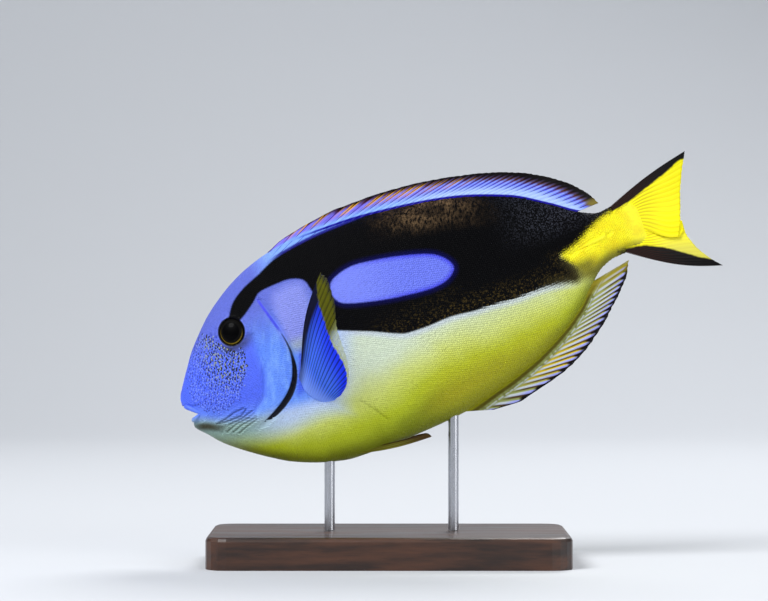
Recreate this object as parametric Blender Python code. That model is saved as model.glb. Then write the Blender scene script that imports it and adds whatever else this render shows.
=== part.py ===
"""Regal blue tang, yellow-bellied form: a still, life-size display fish on a small stand.

The fish is drawn in its own frame, in millimetres: s runs from the tip of the upper lip
towards the tail, y to the fish's right, and h towards its back. The function place() turns
that frame head-down, swings the tail aside and sets the fish over its base, in metres.
"""

import math

import bmesh
import bpy
from mathutils import Vector

MM = 0.001

# Driving dimensions, in millimetres and degrees.
BODY_END = 181.0
HEAD_DOWN = 20.0
SNOUT_X = -103.57
SNOUT_Z = 60.4
TAIL_SWING_FROM = 105.0
TAIL_SWING = 22.0
TAIL_SWING_AT = 212.0
GAP = 0.3
TRUNK_END = 158.0

EYE_S = 27.4
EYE_H = 19.0
EYE_RADIUS = 5.4
EYE_NARROW = 0.94
EYE_DEPTH = 3.2
EYE_BULGE = 1.6
BROW = 0.35

BASE_LENGTH = 136.0
BASE_WIDTH = 72.0
BASE_THICK = 12.0
BASE_X = -25.0
BASE_CORNER = 8.0
BASE_RIM = 1.5
ROD_RADIUS = 2.0
ROD_SINK = 5.0
ROD_STATIONS = {"front": -47.5, "rear": -0.5}

# Outlines of the body seen from its left side, and its thickness, against the root of s.
BACK_LINE = ((0.0, 1.2), (1.45, 5.7), (2.4, 11.1), (3.2, 17.4), (3.85, 22.4), (4.45, 27.3),
             (5.15, 32.4), (5.85, 37.0), (6.5, 40.4), (7.1, 42.6), (7.75, 43.7), (9.0, 43.6),
             (10.0, 42.0), (11.0, 38.7), (12.0, 31.2), (12.55, 23.2), (12.95, 16.4),
             (13.2, 14.0), (13.45, 14.9))
BELLY_LINE = ((0.0, -7.6), (1.0, -9.9), (2.2, -14.2), (3.0, -19.0), (3.85, -24.0),
              (4.45, -27.7), (5.0, -31.2), (5.6, -35.0), (6.7, -40.1), (7.4, -42.0),
              (8.2, -42.2), (9.2, -41.4), (9.9, -40.2), (10.75, -35.9), (11.4, -31.3),
              (12.0, -24.8), (12.45, -17.6), (12.75, -10.6), (13.0, -5.9), (13.2, -4.3),
              (13.45, -4.0))
HALF_WIDTH = ((0.0, 2.3), (1.0, 4.0), (2.2, 6.2), (3.2, 8.1), (4.0, 9.7), (5.2, 11.8),
              (6.7, 14.8), (7.75, 15.8), (8.95, 15.7), (10.0, 14.0), (10.95, 11.3),
              (11.8, 8.1), (12.45, 5.4), (12.85, 4.0), (13.2, 2.9), (13.45, 2.2))
WIDEST_LEVEL = ((0.0, -3.4), (3.2, -4.0), (5.2, -3.0), (6.7, -1.5), (11.0, -1.0), (12.3, 2.5),
                (13.45, 4.6))
BACK_ROUNDNESS = ((0.0, 2.2), (5.0, 1.9), (7.5, 1.75), (11.0, 1.65), (12.5, 1.8), (13.45, 2.0))
BELLY_ROUNDNESS = ((0.0, 2.2), (7.5, 2.1), (9.0, 1.95), (10.5, 1.7), (12.0, 1.7), (13.45, 2.0))

# The gill opening: the rear edge of the gill cover, from the nape down to the throat.
GILL_LINE = ((36.0, 60.0), (37.5, 45.0), (40.5, 28.0), (43.4, 17.5), (45.2, 11.0), (45.8, 5.0),
             (45.0, 0.0), (43.4, -4.5), (40.6, -8.6), (36.4, -12.2), (31.0, -15.4),
             (25.0, -18.4), (19.5, -23.0), (15.5, -30.0), (14.0, -60.0))

# The slightly open mouth, the lips as level, front and radius, and the nostrils.
MOUTH_OPENING = ((-3.0, -1.2), (0.6, -1.2), (1.3, -2.2), (2.6, -3.8), (3.9, -5.1), (5.7, -6.0),
                 (4.5, -6.8), (3.0, -7.1), (2.2, -8.0), (1.6, -9.2), (1.6, -10.2), (-3.0, -12.5))
LIPS = {"upper": (-1.8, 1.15, 1.03), "lower": (-7.6, 2.25, 1.0)}
LIP_CORNER = (5.7, -6.0)
LIP_TAPER = 0.45
LIP_SINK = 0.35
LIP_POINTS = 17
LIP_PATH = ((0.0, 0.0), (0.02, 0.62), (0.12, 0.95), (0.5, 1.0), (1.0, 1.0))
NOSTRILS = ((19.3, 20.4, 0.75), (20.9, 19.0, 0.55))
NOSE = (-0.35, -3.2)

# Soft forms of the head's side: how far the gill cover and the cheek stand out.
COVER_SWELL = 0.9
COVER_LEVELS = (-20.0, -12.0, 16.0, 24.0)
COVER_FRONT = 9.0
COVER_REAR = 1.0
CHEEK_SWELL = 0.5
CHEEK_PLACE = (19.0, -4.0)
CHEEK_REACH = (12.0, 16.0)

# Fins of the midline: foot stations, each ray's lean and the outer margin.
DORSAL_BASE = (50.0, 164.6)
DORSAL_LEAN = ((0.0, 6.0), (0.09, 10.5), (0.35, 18.0), (0.6, 16.5), (0.8, 16.8), (0.92, 15.2),
               (1.0, 10.8))
DORSAL_MARGIN = ((56.0, 45.2), (62.0, 46.6), (71.0, 48.2), (81.5, 49.4), (93.6, 49.4),
                 (105.5, 48.8), (117.1, 47.4), (132.0, 44.5), (143.0, 41.5), (153.4, 37.3),
                 (163.3, 31.4), (169.6, 26.0), (174.0, 20.4), (175.4, 17.4))
DORSAL_RAYS = 28
ANAL_BASE = (97.5, 161.6)
ANAL_LEAN = ((0.0, 13.0), (0.06, 20.0), (0.27, 24.5), (0.5, 22.7), (0.74, 18.6), (0.9, 17.0),
             (1.0, 17.4))
ANAL_MARGIN = ((108.0, -42.6), (120.1, -43.4), (128.5, -41.6), (141.0, -38.4), (151.6, -33.4),
               (161.0, -26.8), (168.0, -20.6), (175.6, -13.0), (179.0, -7.2))
ANAL_RAYS = 21
FIN_SINK = 1.6
FIN_FOOT = 1.3
FIN_EDGE = 0.5
RAY_HEIGHT = 0.35
CAUDAL_ROOT = (14.6, -4.0)
CAUDAL_MARGIN = ((214.6, 24.9), (213.2, 22.2), (209.8, 15.5), (207.0, 8.8), (205.0, 1.8),
                 (204.8, -4.6), (206.2, -9.4), (209.6, -16.0), (213.3, -21.6))
CAUDAL_RAYS = 16
CAUDAL_BOW = 2.4
CAUDAL_WAVE = 2.4
CAUDAL_WEB = 0.55
CAUDAL_INSET = 1.5

# Pectoral fin: its feet round the fleshy base, and its tips from the leading ray to the last.
PECTORAL_FEET = ((46.4, -6.4), (46.6, -10.4), (48.3, -14.2), (51.4, -16.9), (55.2, -18.0))
PECTORAL_TIPS = ((67.2, 28.0), (68.6, 24.2), (68.4, 17.4), (66.6, 10.6), (65.4, 4.4),
                 (65.3, -2.2), (64.4, -9.0), (61.9, -14.0), (58.2, -17.2))
PECTORAL_BOW = (-3.7, 1.6)
PECTORAL_RAYS = 15
PECTORAL_STAND_OUT = 36.0
PECTORAL_ARCH = 1.5
PECTORAL_SINK = 1.2
PECTORAL_FLESH = 2.6
PECTORAL_WEB = (0.8, 0.5)
PELVIC_FEET = (51.5, 60.5)
PELVIC_TIPS = ((84.8, -44.2), (83.2, -42.6), (77.0, -42.0))
PELVIC_RAYS = 4
PELVIC_OUT = 3.8
PELVIC_SPLAY = 0.8
PELVIC_SAG = 1.3
PELVIC_WEB = (1.5, 0.6)

# The folded scalpel on each side of the tail's stalk.
BLADE_S = (161.0, 173.5)
BLADE_H = (3.4, 4.8)
BLADE_HEIGHT = 1.2
BLADE_BULGE = 0.8
BLADE_SINK = 0.15

# Half the depth of the straight cutters, and how far they reach past the fish.
FAR = 60.0

SKIN_TINT = (0.09, 0.16, 0.80, 1.0)
BELLY_TINT = (0.50, 0.56, 0.10, 1.0)
TAIL_TINT = (0.95, 0.87, 0.02, 1.0)
FIN_TINT = (0.20, 0.22, 0.85, 1.0)
EYE_TINT = (0.01, 0.01, 0.012, 1.0)
WOOD_TINT = (0.10, 0.045, 0.02, 1.0)
STEEL_TINT = (0.60, 0.60, 0.62, 1.0)


def through(points, x):
    """Height at x of the smooth curve through the points, with no overshoot between them."""
    if x <= points[0][0]:
        return points[0][1]
    if x >= points[-1][0]:
        return points[-1][1]
    steps = [(b[1] - a[1]) / (b[0] - a[0]) for a, b in zip(points, points[1:])]
    i = max(k for k in range(len(steps)) if points[k][0] <= x)
    span = points[i + 1][0] - points[i][0]

    def slope(k):
        if k == 0:
            return steps[0]
        if k == len(steps):
            return steps[-1]
        before, after = steps[k - 1], steps[k]
        if before * after <= 0.0:
            return 0.0
        return 2.0 * before * after / (before + after)

    t = (x - points[i][0]) / span
    start = points[i][1] * (1 + 2 * t) * (1 - t) ** 2 + slope(i) * span * t * (1 - t) ** 2
    end = points[i + 1][1] * t * t * (3 - 2 * t) - slope(i + 1) * span * t * t * (1 - t)
    return start + end


def along(points, t):
    """Point at share t of the way through a list of points, spaced by their order."""
    width = len(points[0])
    return tuple(
        through([(k / (len(points) - 1), p[axis]) for k, p in enumerate(points)], t)
        for axis in range(width)
    )


def ease(low, high, x):
    """0 below low, 1 above high, and a smooth step between."""
    t = min(1.0, max(0.0, (x - low) / (high - low)))
    return t * t * (3 - 2 * t)


def hump(x, centre, reach):
    """1 at the centre, falling smoothly to 0 at reach on either side."""
    return 1.0 - ease(0.0, reach, abs(x - centre))


def swing(s):
    """How far the tail's sideways sweep moves the midline at s."""
    past = max(0.0, s - TAIL_SWING_FROM)
    return TAIL_SWING * (past / (TAIL_SWING_AT - TAIL_SWING_FROM)) ** 2


def place(s, y, h, bent=True):
    """World position, in metres, of a point in the fish's frame."""
    pitch = math.radians(HEAD_DOWN)
    x = SNOUT_X + s * math.cos(pitch) - h * math.sin(pitch)
    z = SNOUT_Z + s * math.sin(pitch) + h * math.cos(pitch)
    return Vector((x, y + (swing(s) if bent else 0.0), z)) * MM


def section(s):
    """Top, bottom, widest level, half width and the two roundnesses of the body at s."""
    root = math.sqrt(max(0.0, s))
    lines = (BACK_LINE, BELLY_LINE, WIDEST_LEVEL, HALF_WIDTH, BACK_ROUNDNESS, BELLY_ROUNDNESS)
    return tuple(through(line, root) for line in lines)


def side_y(s, h):
    """Half the body's thickness at station s and height h."""
    top, bottom, level, width, back_round, belly_round = section(s)
    if h >= level:
        share, n = (h - level) / (top - level), back_round
    else:
        share, n = (level - h) / (level - bottom), belly_round
    return width * max(0.0, 1.0 - min(1.0, share) ** n) ** (1.0 / n)


def belly_at(s, y):
    """Height of the body's underside at station s and distance y from the midline."""
    bottom, level, width, belly_round = section(s)[1], *section(s)[2:4], section(s)[5]
    share = (1.0 - min(1.0, abs(y) / width) ** belly_round) ** (1.0 / belly_round)
    return level - (level - bottom) * share


def gill_edge(h):
    """Station of the gill cover's rear edge at height h."""
    rising = sorted((p[1], p[0]) for p in GILL_LINE)
    return through(rising, h)


def head_swell(s, h):
    """How far the head's side stands out from the plain body: gill cover, cheek and brow."""
    edge = gill_edge(h)
    on_cover = ease(*COVER_LEVELS[:2], h) * (1.0 - ease(*COVER_LEVELS[2:], h))
    cover = COVER_SWELL * on_cover * ease(edge - COVER_FRONT, edge - COVER_REAR, s)
    cheek = CHEEK_SWELL * hump(s, CHEEK_PLACE[0], CHEEK_REACH[0])
    cheek *= hump(h, CHEEK_PLACE[1], CHEEK_REACH[1])
    away = math.hypot(s - EYE_S, h - EYE_H)
    brow = BROW * hump(away, EYE_RADIUS + 0.6, 4.0)
    return cover + cheek + brow


def body_ring(s, sides, grow, head):
    """The body's section at s as a closed ring of points in the fish's frame."""
    top, bottom, level, width, back_round, belly_round = section(s)
    points = []
    for k in range(sides):
        angle = 2 * math.pi * (k + 0.5) / sides - math.pi / 2
        across, up = math.cos(angle), math.sin(angle)
        n = back_round if up >= 0 else belly_round
        reach = (top - level) if up >= 0 else (level - bottom)
        h = level + math.copysign(abs(up) ** (2 / n), up) * (reach + grow)
        y = math.copysign(abs(across) ** (2 / n), across) * (width + grow)
        if head and abs(across) > 0.2:
            y += math.copysign(head_swell(s, h) * min(1.0, abs(y) / 4.0), y)
        points.append((s, y, h))
    return points


def new_object(name, mesh_work, tint=None, rough=0.45, metal=0.0):
    """An object from a bmesh, with its own material."""
    mesh = bpy.data.meshes.new(name)
    bmesh.ops.recalc_face_normals(mesh_work, faces=mesh_work.faces)
    if mesh_work.calc_volume(signed=True) < 0.0:
        bmesh.ops.reverse_faces(mesh_work, faces=mesh_work.faces)
    mesh_work.to_mesh(mesh)
    mesh_work.free()
    obj = bpy.data.objects.new(name, mesh)
    bpy.context.scene.collection.objects.link(obj)
    if tint is not None:
        finish(obj, tint, rough, metal)
    return obj


def finish(obj, tint, rough, metal):
    """Gives the object a material of its own."""
    material = bpy.data.materials.new(obj.name + "_finish")
    material.use_nodes = True
    shader = material.node_tree.nodes["Principled BSDF"]
    shader.inputs["Base Color"].default_value = tint
    shader.inputs["Roughness"].default_value = rough
    shader.inputs["Metallic"].default_value = metal
    obj.data.materials.clear()
    obj.data.materials.append(material)


def loft(name, rings, front):
    """A closed body through rings of points, its front closed on a point."""
    work = bmesh.new()
    loops = []
    for ring in rings:
        loops.append([work.verts.new(place(*point)) for point in ring])
    sides = len(loops[0])
    edges = []
    for loop in loops:
        edges.append([work.edges.new((loop[k], loop[(k + 1) % sides])) for k in range(sides)])
    for first, second in zip(edges, edges[1:]):
        bmesh.ops.bridge_loops(work, edges=first + second)
    nose = work.verts.new(place(*front))
    for k in range(sides):
        work.faces.new((loops[0][k], loops[0][(k + 1) % sides], nose))
    work.faces.new(loops[-1])
    bmesh.ops.triangulate(work, faces=[f for f in work.faces if len(f.verts) > 4])
    return new_object(name, work)


def body(name, ring_stations, sides, grow=0.0, head=False):
    """The whole body as one closed shell, from the snout to the root of the tail fin."""
    rings = [body_ring(s, sides, grow, head) for s in ring_stations]
    return loft(name, rings, (NOSE[0] - grow, 0.0, NOSE[1]))


def stations(start, end, count, bunch=1.0):
    """Stations from start to end, closer together at the start where bunch is over 1."""
    return [start + (end - start) * (k / (count - 1)) ** bunch for k in range(count)]


def prism(name, outline, half_depth=FAR):
    """A straight block across the fish with an outline drawn on its side, used as a cutter."""
    work = bmesh.new()
    near = [work.verts.new(place(s, -half_depth, h, bent=False)) for s, h in outline]
    face = work.faces.new(near)
    made = bmesh.ops.extrude_face_region(work, geom=[face])
    far = [v for v in made["geom"] if isinstance(v, bmesh.types.BMVert)]
    bmesh.ops.translate(work, verts=far, vec=Vector((0.0, 2 * half_depth * MM, 0.0)))
    return new_object(name, work)


def combine(target, tools, operation):
    """Applies a Boolean of the target with each tool in a collection, and removes the tools."""
    group = bpy.data.collections.new(target.name + "_tools")
    bpy.context.scene.collection.children.link(group)
    for tool in tools:
        bpy.context.scene.collection.objects.unlink(tool)
        group.objects.link(tool)
    before = target.data.copy()
    for solver in ("EXACT", "MANIFOLD"):
        change = target.modifiers.new("change", "BOOLEAN")
        change.operation = operation
        change.operand_type = "COLLECTION"
        change.collection = group
        change.solver = solver
        apply_modifiers(target)
        if is_closed(target.data):
            break
        if solver == "EXACT":
            target.data = before.copy()
    for tool in list(group.objects):
        bpy.data.objects.remove(tool)
    bpy.data.collections.remove(group)
    bpy.data.meshes.remove(before)
    keep_largest(target)
    return target


def is_closed(mesh):
    """Whether every edge of the mesh lies between two faces that agree on the outside."""
    work = bmesh.new()
    work.from_mesh(mesh)
    closed = all(edge.is_manifold and edge.is_contiguous for edge in work.edges)
    work.free()
    return closed


def apply_modifiers(obj):
    """Replaces the object's mesh with the one its modifiers make."""
    bpy.context.view_layer.update()
    graph = bpy.context.evaluated_depsgraph_get()
    mesh = bpy.data.meshes.new_from_object(obj.evaluated_get(graph))
    obj.modifiers.clear()
    old = obj.data
    obj.data = mesh
    bpy.data.meshes.remove(old)


def keep_largest(obj):
    """Drops every closed surface of the object but the one with the most volume."""
    work = bmesh.new()
    work.from_mesh(obj.data)
    work.faces.ensure_lookup_table()
    waiting = set(work.faces)
    shells = []
    while waiting:
        first = waiting.pop()
        shell, edge_faces = {first}, [first]
        while edge_faces:
            face = edge_faces.pop()
            for edge in face.edges:
                for other in edge.link_faces:
                    if other in waiting:
                        waiting.discard(other)
                        shell.add(other)
                        edge_faces.append(other)
        shells.append(shell)

    def volume(shell):
        total = 0.0
        for face in shell:
            a = face.verts[0].co
            for b, c in zip(face.verts[1:], face.verts[2:]):
                total += a.dot(b.co.cross(c.co)) / 6
        return total

    shells.sort(key=volume, reverse=True)
    for shell in shells[1:]:
        bmesh.ops.delete(work, geom=list(shell), context="FACES")
    work.to_mesh(obj.data)
    work.free()


def grown_body(name):
    """The body a gap larger all round, which cuts what meets its surface."""
    return body(name, stations(0.15, BODY_END, 46, 1.35), 36, grow=GAP)


def sheet(name, middle, thickness, columns, rows, tint):
    """A thin closed fin: middle(q, t) in the fish's frame, and its thickness there in mm."""
    work = bmesh.new()
    bmesh.ops.create_grid(work, x_segments=columns, y_segments=rows, size=1.0)
    work.verts.ensure_lookup_table()
    spots = {}
    for vert in work.verts:
        spots[vert] = ((vert.co.x + 1) / 2, (vert.co.y + 1) / 2)
    normals = {}
    small = 1e-3
    for vert, (q, t) in spots.items():
        across = place(*middle(min(1.0, q + small), t)) - place(*middle(max(0.0, q - small), t))
        up = place(*middle(q, min(1.0, t + small))) - place(*middle(q, max(0.0, t - small)))
        normals[vert] = across.cross(up).normalized()
    half = {vert: thickness(*spot) / 2 * MM for vert, spot in spots.items()}
    for vert, (q, t) in spots.items():
        vert.co = place(*middle(q, t))
    bmesh.ops.triangulate(work, faces=work.faces[:], quad_method="FIXED")
    first = list(spots)
    order = {vert: k for k, vert in enumerate(first)}
    made = bmesh.ops.extrude_face_region(work, geom=work.faces[:])
    others = [v for v in made["geom"] if isinstance(v, bmesh.types.BMVert)]
    by_place = {tuple(round(c, 9) for c in v.co): v for v in first}
    for vert in others:
        twin = by_place[tuple(round(c, 9) for c in vert.co)]
        vert.co = vert.co - normals[first[order[twin]]] * half[twin]
    for vert in first:
        vert.co = vert.co + normals[vert] * half[vert]
    return new_object(name, work, tint, rough=0.35)


def ridge(q, rays):
    """1 on a fin ray and 0 halfway between two, for rays spread evenly over q."""
    return abs(1.0 - 2.0 * ((q * rays) % 1.0))


def median_fin(name, base, lean, margin, outline, sink, rays, rows, tint):
    """A fin on the fish's midline: rays that lean back from the outline to the fin's margin."""
    def middle(q, t):
        foot_s = base[0] + (base[1] - base[0]) * q
        tip_s = foot_s + through(lean, q)
        foot_h = through(outline, math.sqrt(foot_s)) + sink
        tip_h = through(margin, tip_s)
        return foot_s + (tip_s - foot_s) * t, 0.0, foot_h + (tip_h - foot_h) * t

    def thickness(q, t):
        membrane = FIN_FOOT + (FIN_EDGE - FIN_FOOT) * t
        return membrane + 2 * RAY_HEIGHT * ridge(q, rays) * (1.0 - 0.55 * t)

    return sheet(name, middle, thickness, 2 * rays, rows, tint)


def caudal_lobe(name, first, last):
    """One lobe of the tail fin: rays that fan from the body's end to a hollowed rear margin."""
    root_s = BODY_END - CAUDAL_INSET
    rays = CAUDAL_RAYS * (last - first)

    def middle(q, t):
        share = first + (last - first) * q
        foot = (root_s, CAUDAL_ROOT[0] + (CAUDAL_ROOT[1] - CAUDAL_ROOT[0]) * share)
        tip = along(CAUDAL_MARGIN, share)
        bow = CAUDAL_BOW * math.sin(math.pi * t) * (1.0 - 2.0 * share)
        wave = CAUDAL_WAVE * t * t * math.sin(2 * math.pi * (share - 0.15))
        parting = GAP / 2 * (q - 1.0 if first > 0.0 else q)
        s = foot[0] + (tip[0] - foot[0]) * t
        return s, wave, foot[1] + (tip[1] - foot[1]) * t + bow + parting

    def thickness(q, t):
        share = first + (last - first) * q
        h = CAUDAL_ROOT[0] + (CAUDAL_ROOT[1] - CAUDAL_ROOT[0]) * share
        root = max(0.9, 2 * side_y(BODY_END, h))
        membrane = root + (CAUDAL_WEB - root) * (1.0 - (1.0 - t) ** 3)
        return membrane + 2 * RAY_HEIGHT * ridge(q, rays) * min(1.0, 4 * t) * (1 - 0.5 * t)

    fin = sheet(name, middle, thickness, round(2 * rays), 6, TAIL_TINT)
    end = BODY_END + GAP
    room = prism("tail_room", ((end - FAR, -FAR), (end - FAR, FAR), (end, FAR), (end, -FAR)))
    return combine(fin, [room], "DIFFERENCE")


def pectoral_fin(name, side):
    """A fin on the fish's flank, raised and spread away from the body."""
    def middle(q, t):
        foot, tip = along(PECTORAL_FEET, q), along(PECTORAL_TIPS, q)
        bow = math.sin(math.pi * t ** 1.15) * (1.0 - q) ** 2.2
        s = foot[0] + (tip[0] - foot[0]) * t + PECTORAL_BOW[0] * bow
        h = foot[1] + (tip[1] - foot[1]) * t + PECTORAL_BOW[1] * bow
        length = math.hypot(tip[0] - foot[0], tip[1] - foot[1])
        out = side_y(foot[0], foot[1]) - PECTORAL_SINK
        out += math.tan(math.radians(PECTORAL_STAND_OUT)) * length * t
        out += PECTORAL_ARCH * math.sin(math.pi * t)
        return s, side * out, h

    def thickness(q, t):
        fleshy = (1.0 - ease(0.0, 0.3, t)) * (0.4 + 0.6 * math.sin(math.pi * q))
        membrane = PECTORAL_WEB[0] + (PECTORAL_WEB[1] - PECTORAL_WEB[0]) * t
        flesh = PECTORAL_FLESH * fleshy
        return membrane + flesh + 2 * RAY_HEIGHT * ridge(q, PECTORAL_RAYS) * (1.0 - 0.5 * t)

    return sheet(name, middle, thickness, 2 * PECTORAL_RAYS, 7, FIN_TINT)


def pelvic_fin(name, side):
    """A fin folded back along the belly: one spine and three rays."""
    def middle(q, t):
        foot_s = PELVIC_FEET[0] + (PELVIC_FEET[1] - PELVIC_FEET[0]) * q
        foot_h = belly_at(foot_s, PELVIC_OUT) + PECTORAL_SINK
        tip = along(PELVIC_TIPS, q)
        s = foot_s + (tip[0] - foot_s) * t
        h = foot_h + (tip[1] - foot_h) * t - PELVIC_SAG * math.sin(math.pi * t) * (1.0 - q)
        return s, side * (PELVIC_OUT + PELVIC_SPLAY * t), h

    def thickness(q, t):
        membrane = PELVIC_WEB[0] + (PELVIC_WEB[1] - PELVIC_WEB[0]) * t
        return membrane + 2 * RAY_HEIGHT * ridge(q, PELVIC_RAYS) * (1.0 - 0.5 * t)

    return sheet(name, middle, thickness, 2 * PELVIC_RAYS, 6, BELLY_TINT)


def skin_normal(s, h, side):
    """Direction the body's flank faces at a point, in the fish's frame."""
    step = 0.5
    along_s = (side_y(s + step, h) - side_y(s - step, h)) / (2 * step)
    along_h = (side_y(s, h + step) - side_y(s, h - step)) / (2 * step)
    return Vector((-along_s, side, -along_h)).normalized()


def eyeball(name, side, grow, rings, segments, tint=None):
    """A flattened ball that faces out of the head, a little proud of the skin."""
    facing = skin_normal(EYE_S, EYE_H, side)
    upward = (Vector((0.0, 0.0, 1.0)) - facing * facing.z).normalized()
    onward = facing.cross(upward) * side
    skin = Vector((EYE_S, side * side_y(EYE_S, EYE_H), EYE_H))
    centre = skin + facing * (EYE_BULGE - EYE_DEPTH)
    work = bmesh.new()
    bmesh.ops.create_uvsphere(work, u_segments=segments, v_segments=rings, radius=1.0)
    for vert in work.verts:
        x, y, z = vert.co
        spot = centre + onward * x * (EYE_RADIUS * EYE_NARROW + grow)
        spot += upward * y * (EYE_RADIUS + grow) + facing * z * (EYE_DEPTH + grow)
        vert.co = place(*spot)
    return new_object(name, work, tint, rough=0.05)


def lip(name, level, front, radius):
    """One lip: a tapered roll of skin round the front of the jaw from corner to corner."""
    curve = bpy.data.curves.new(name, "CURVE")
    curve.dimensions = "3D"
    curve.bevel_depth = radius * MM
    curve.bevel_resolution = 1
    curve.use_fill_caps = True
    spline = curve.splines.new("POLY")
    spline.points.add(LIP_POINTS - 1)
    for k in range(LIP_POINTS):
        turn = 2 * k / (LIP_POINTS - 1) - 1.0
        onward, aside = along(LIP_PATH, abs(turn))
        back = front + (LIP_CORNER[0] - front) * onward
        h = level + (LIP_CORNER[1] - level) * onward
        y = math.copysign((side_y(back, h) - LIP_SINK) * aside, turn)
        spline.points[k].co = (*place(back, y, h), 1.0)
        spline.points[k].radius = 1.0 + (LIP_TAPER - 1.0) * onward
    roll = bpy.data.objects.new(name, curve)
    bpy.context.scene.collection.objects.link(roll)
    bpy.context.view_layer.update()
    graph = bpy.context.evaluated_depsgraph_get()
    mesh = bpy.data.meshes.new_from_object(roll.evaluated_get(graph))
    bpy.data.objects.remove(roll)
    work = bmesh.new()
    work.from_mesh(mesh)
    bpy.data.meshes.remove(mesh)
    bmesh.ops.remove_doubles(work, verts=work.verts, dist=0.001 * MM)
    return new_object(name, work)


def head():
    """The head, back to the edge of the gill cover, with lips, mouth, nostrils and sockets."""
    shell = body("head", stations(0.15, 62.0, 30, 1.35), 40, head=True)
    line = [(s - GAP / 2, h) for s, h in GILL_LINE]
    combine(shell, [prism("face_side", [(-FAR, FAR), *line, (-FAR, -FAR)])], "INTERSECT")
    combine(shell, [prism("mouth", MOUTH_OPENING)], "DIFFERENCE")
    combine(shell, [lip(name + "_lip", *size) for name, size in LIPS.items()], "UNION")
    hollows = []
    for side in (-1, 1):
        hollows.append(eyeball("socket", side, GAP, 10, 20))
        for k, (s, h, radius) in enumerate(NOSTRILS):
            out = side_y(s, h) + head_swell(s, h)
            hollows.append(pit(f"nostril_{k}", (s, side * out, h), radius))
    combine(shell, hollows, "DIFFERENCE")
    finish(shell, SKIN_TINT, 0.4, 0.0)
    return shell


def pit(name, centre, radius):
    """A small ball that hollows a nostril out of the skin."""
    work = bmesh.new()
    bmesh.ops.create_icosphere(work, subdivisions=1, radius=radius * MM)
    bmesh.ops.translate(work, verts=work.verts, vec=place(*centre))
    return new_object(name, work)


def torso():
    """The trunk, from the gill opening to the narrow part of the tail."""
    shell = body("torso", stations(6.0, BODY_END, 44), 36)
    ahead = [(s + GAP / 2, h) for s, h in GILL_LINE]
    behind = TRUNK_END - GAP / 2
    outline = [*ahead, (behind, -FAR), (behind, FAR)]
    combine(shell, [prism("trunk_side", outline)], "INTERSECT")
    combine(shell, [rod_shape(name, ROD_RADIUS + GAP, ROD_SINK + GAP) for name in ROD_STATIONS],
            "DIFFERENCE")
    finish(shell, BELLY_TINT, 0.4, 0.0)
    return shell


def tail():
    """The narrow stalk of the tail, with the folded blade along each side."""
    shell = body("tail_peduncle", stations(140.0, BODY_END, 16), 36)
    front = TRUNK_END + GAP / 2
    outline = ((front, -FAR), (front, FAR), (front + FAR, FAR), (front + FAR, -FAR))
    combine(shell, [prism("tail_side", outline)], "INTERSECT")
    combine(shell, [tail_blade(side) for side in (-1, 1)], "UNION")
    finish(shell, TAIL_TINT, 0.4, 0.0)
    return shell


def tail_blade(side):
    """The sharp scalpel of a surgeonfish, lying in its groove with the point forwards."""
    work = bmesh.new()
    bmesh.ops.create_cone(work, cap_ends=True, segments=6, radius1=1.0, radius2=0.15, depth=1.0)
    for vert in work.verts:
        t = 0.5 - vert.co.z
        s = BLADE_S[0] + (BLADE_S[1] - BLADE_S[0]) * t
        h = BLADE_H[0] + (BLADE_H[1] - BLADE_H[0]) * t + vert.co.y * BLADE_HEIGHT
        out = side_y(s, h) - BLADE_SINK + vert.co.x * BLADE_BULGE
        vert.co = place(s, side * out, h)
    return new_object("blade", work)


def belly_z(x):
    """World height, in mm, of the belly's keel above x."""
    lowest = min(
        (abs(place(s, 0.0, section(s)[1]).x / MM - x), place(s, 0.0, section(s)[1]).z / MM)
        for s in stations(20.0, 120.0, 400)
    )
    return lowest[1]


def rod_shape(name, radius, sink):
    """An upright rod from the top of the base into the belly."""
    x = ROD_STATIONS[name]
    top, bottom = belly_z(x) + sink, BASE_THICK + GAP
    work = bmesh.new()
    bmesh.ops.create_cone(work, cap_ends=True, segments=20, radius1=radius * MM,
                          radius2=radius * MM, depth=(top - bottom) * MM)
    bmesh.ops.translate(work, verts=work.verts, vec=Vector((x, 0.0, (top + bottom) / 2)) * MM)
    return new_object("stand_rod_" + name, work, STEEL_TINT, rough=0.25, metal=1.0)


def stand():
    """The wooden base and its two steel rods."""
    work = bmesh.new()
    bmesh.ops.create_cube(work, size=1.0)
    bmesh.ops.scale(work, verts=work.verts, vec=Vector((BASE_LENGTH, BASE_WIDTH, BASE_THICK)) * MM)
    tall = 0.5 * BASE_THICK * MM
    uprights = [e for e in work.edges if abs(e.verts[0].co.z - e.verts[1].co.z) > tall]
    bmesh.ops.bevel(work, geom=uprights, offset=BASE_CORNER * MM, segments=4, profile=0.5,
                    affect="EDGES", material=-1)
    rim = [e for e in work.edges
           if min(v.co.z for v in e.verts) > 0.49 * BASE_THICK * MM and len(e.link_faces) == 2
           and any(abs(f.normal.z) < 0.5 for f in e.link_faces)]
    bmesh.ops.bevel(work, geom=rim, offset=BASE_RIM * MM, segments=2, profile=0.5,
                    affect="EDGES", material=-1)
    bmesh.ops.translate(work, verts=work.verts, vec=Vector((BASE_X, 0.0, BASE_THICK / 2)) * MM)
    new_object("stand_base", work, WOOD_TINT, rough=0.5)
    for name in ROD_STATIONS:
        rod_shape(name, ROD_RADIUS, ROD_SINK)


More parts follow.
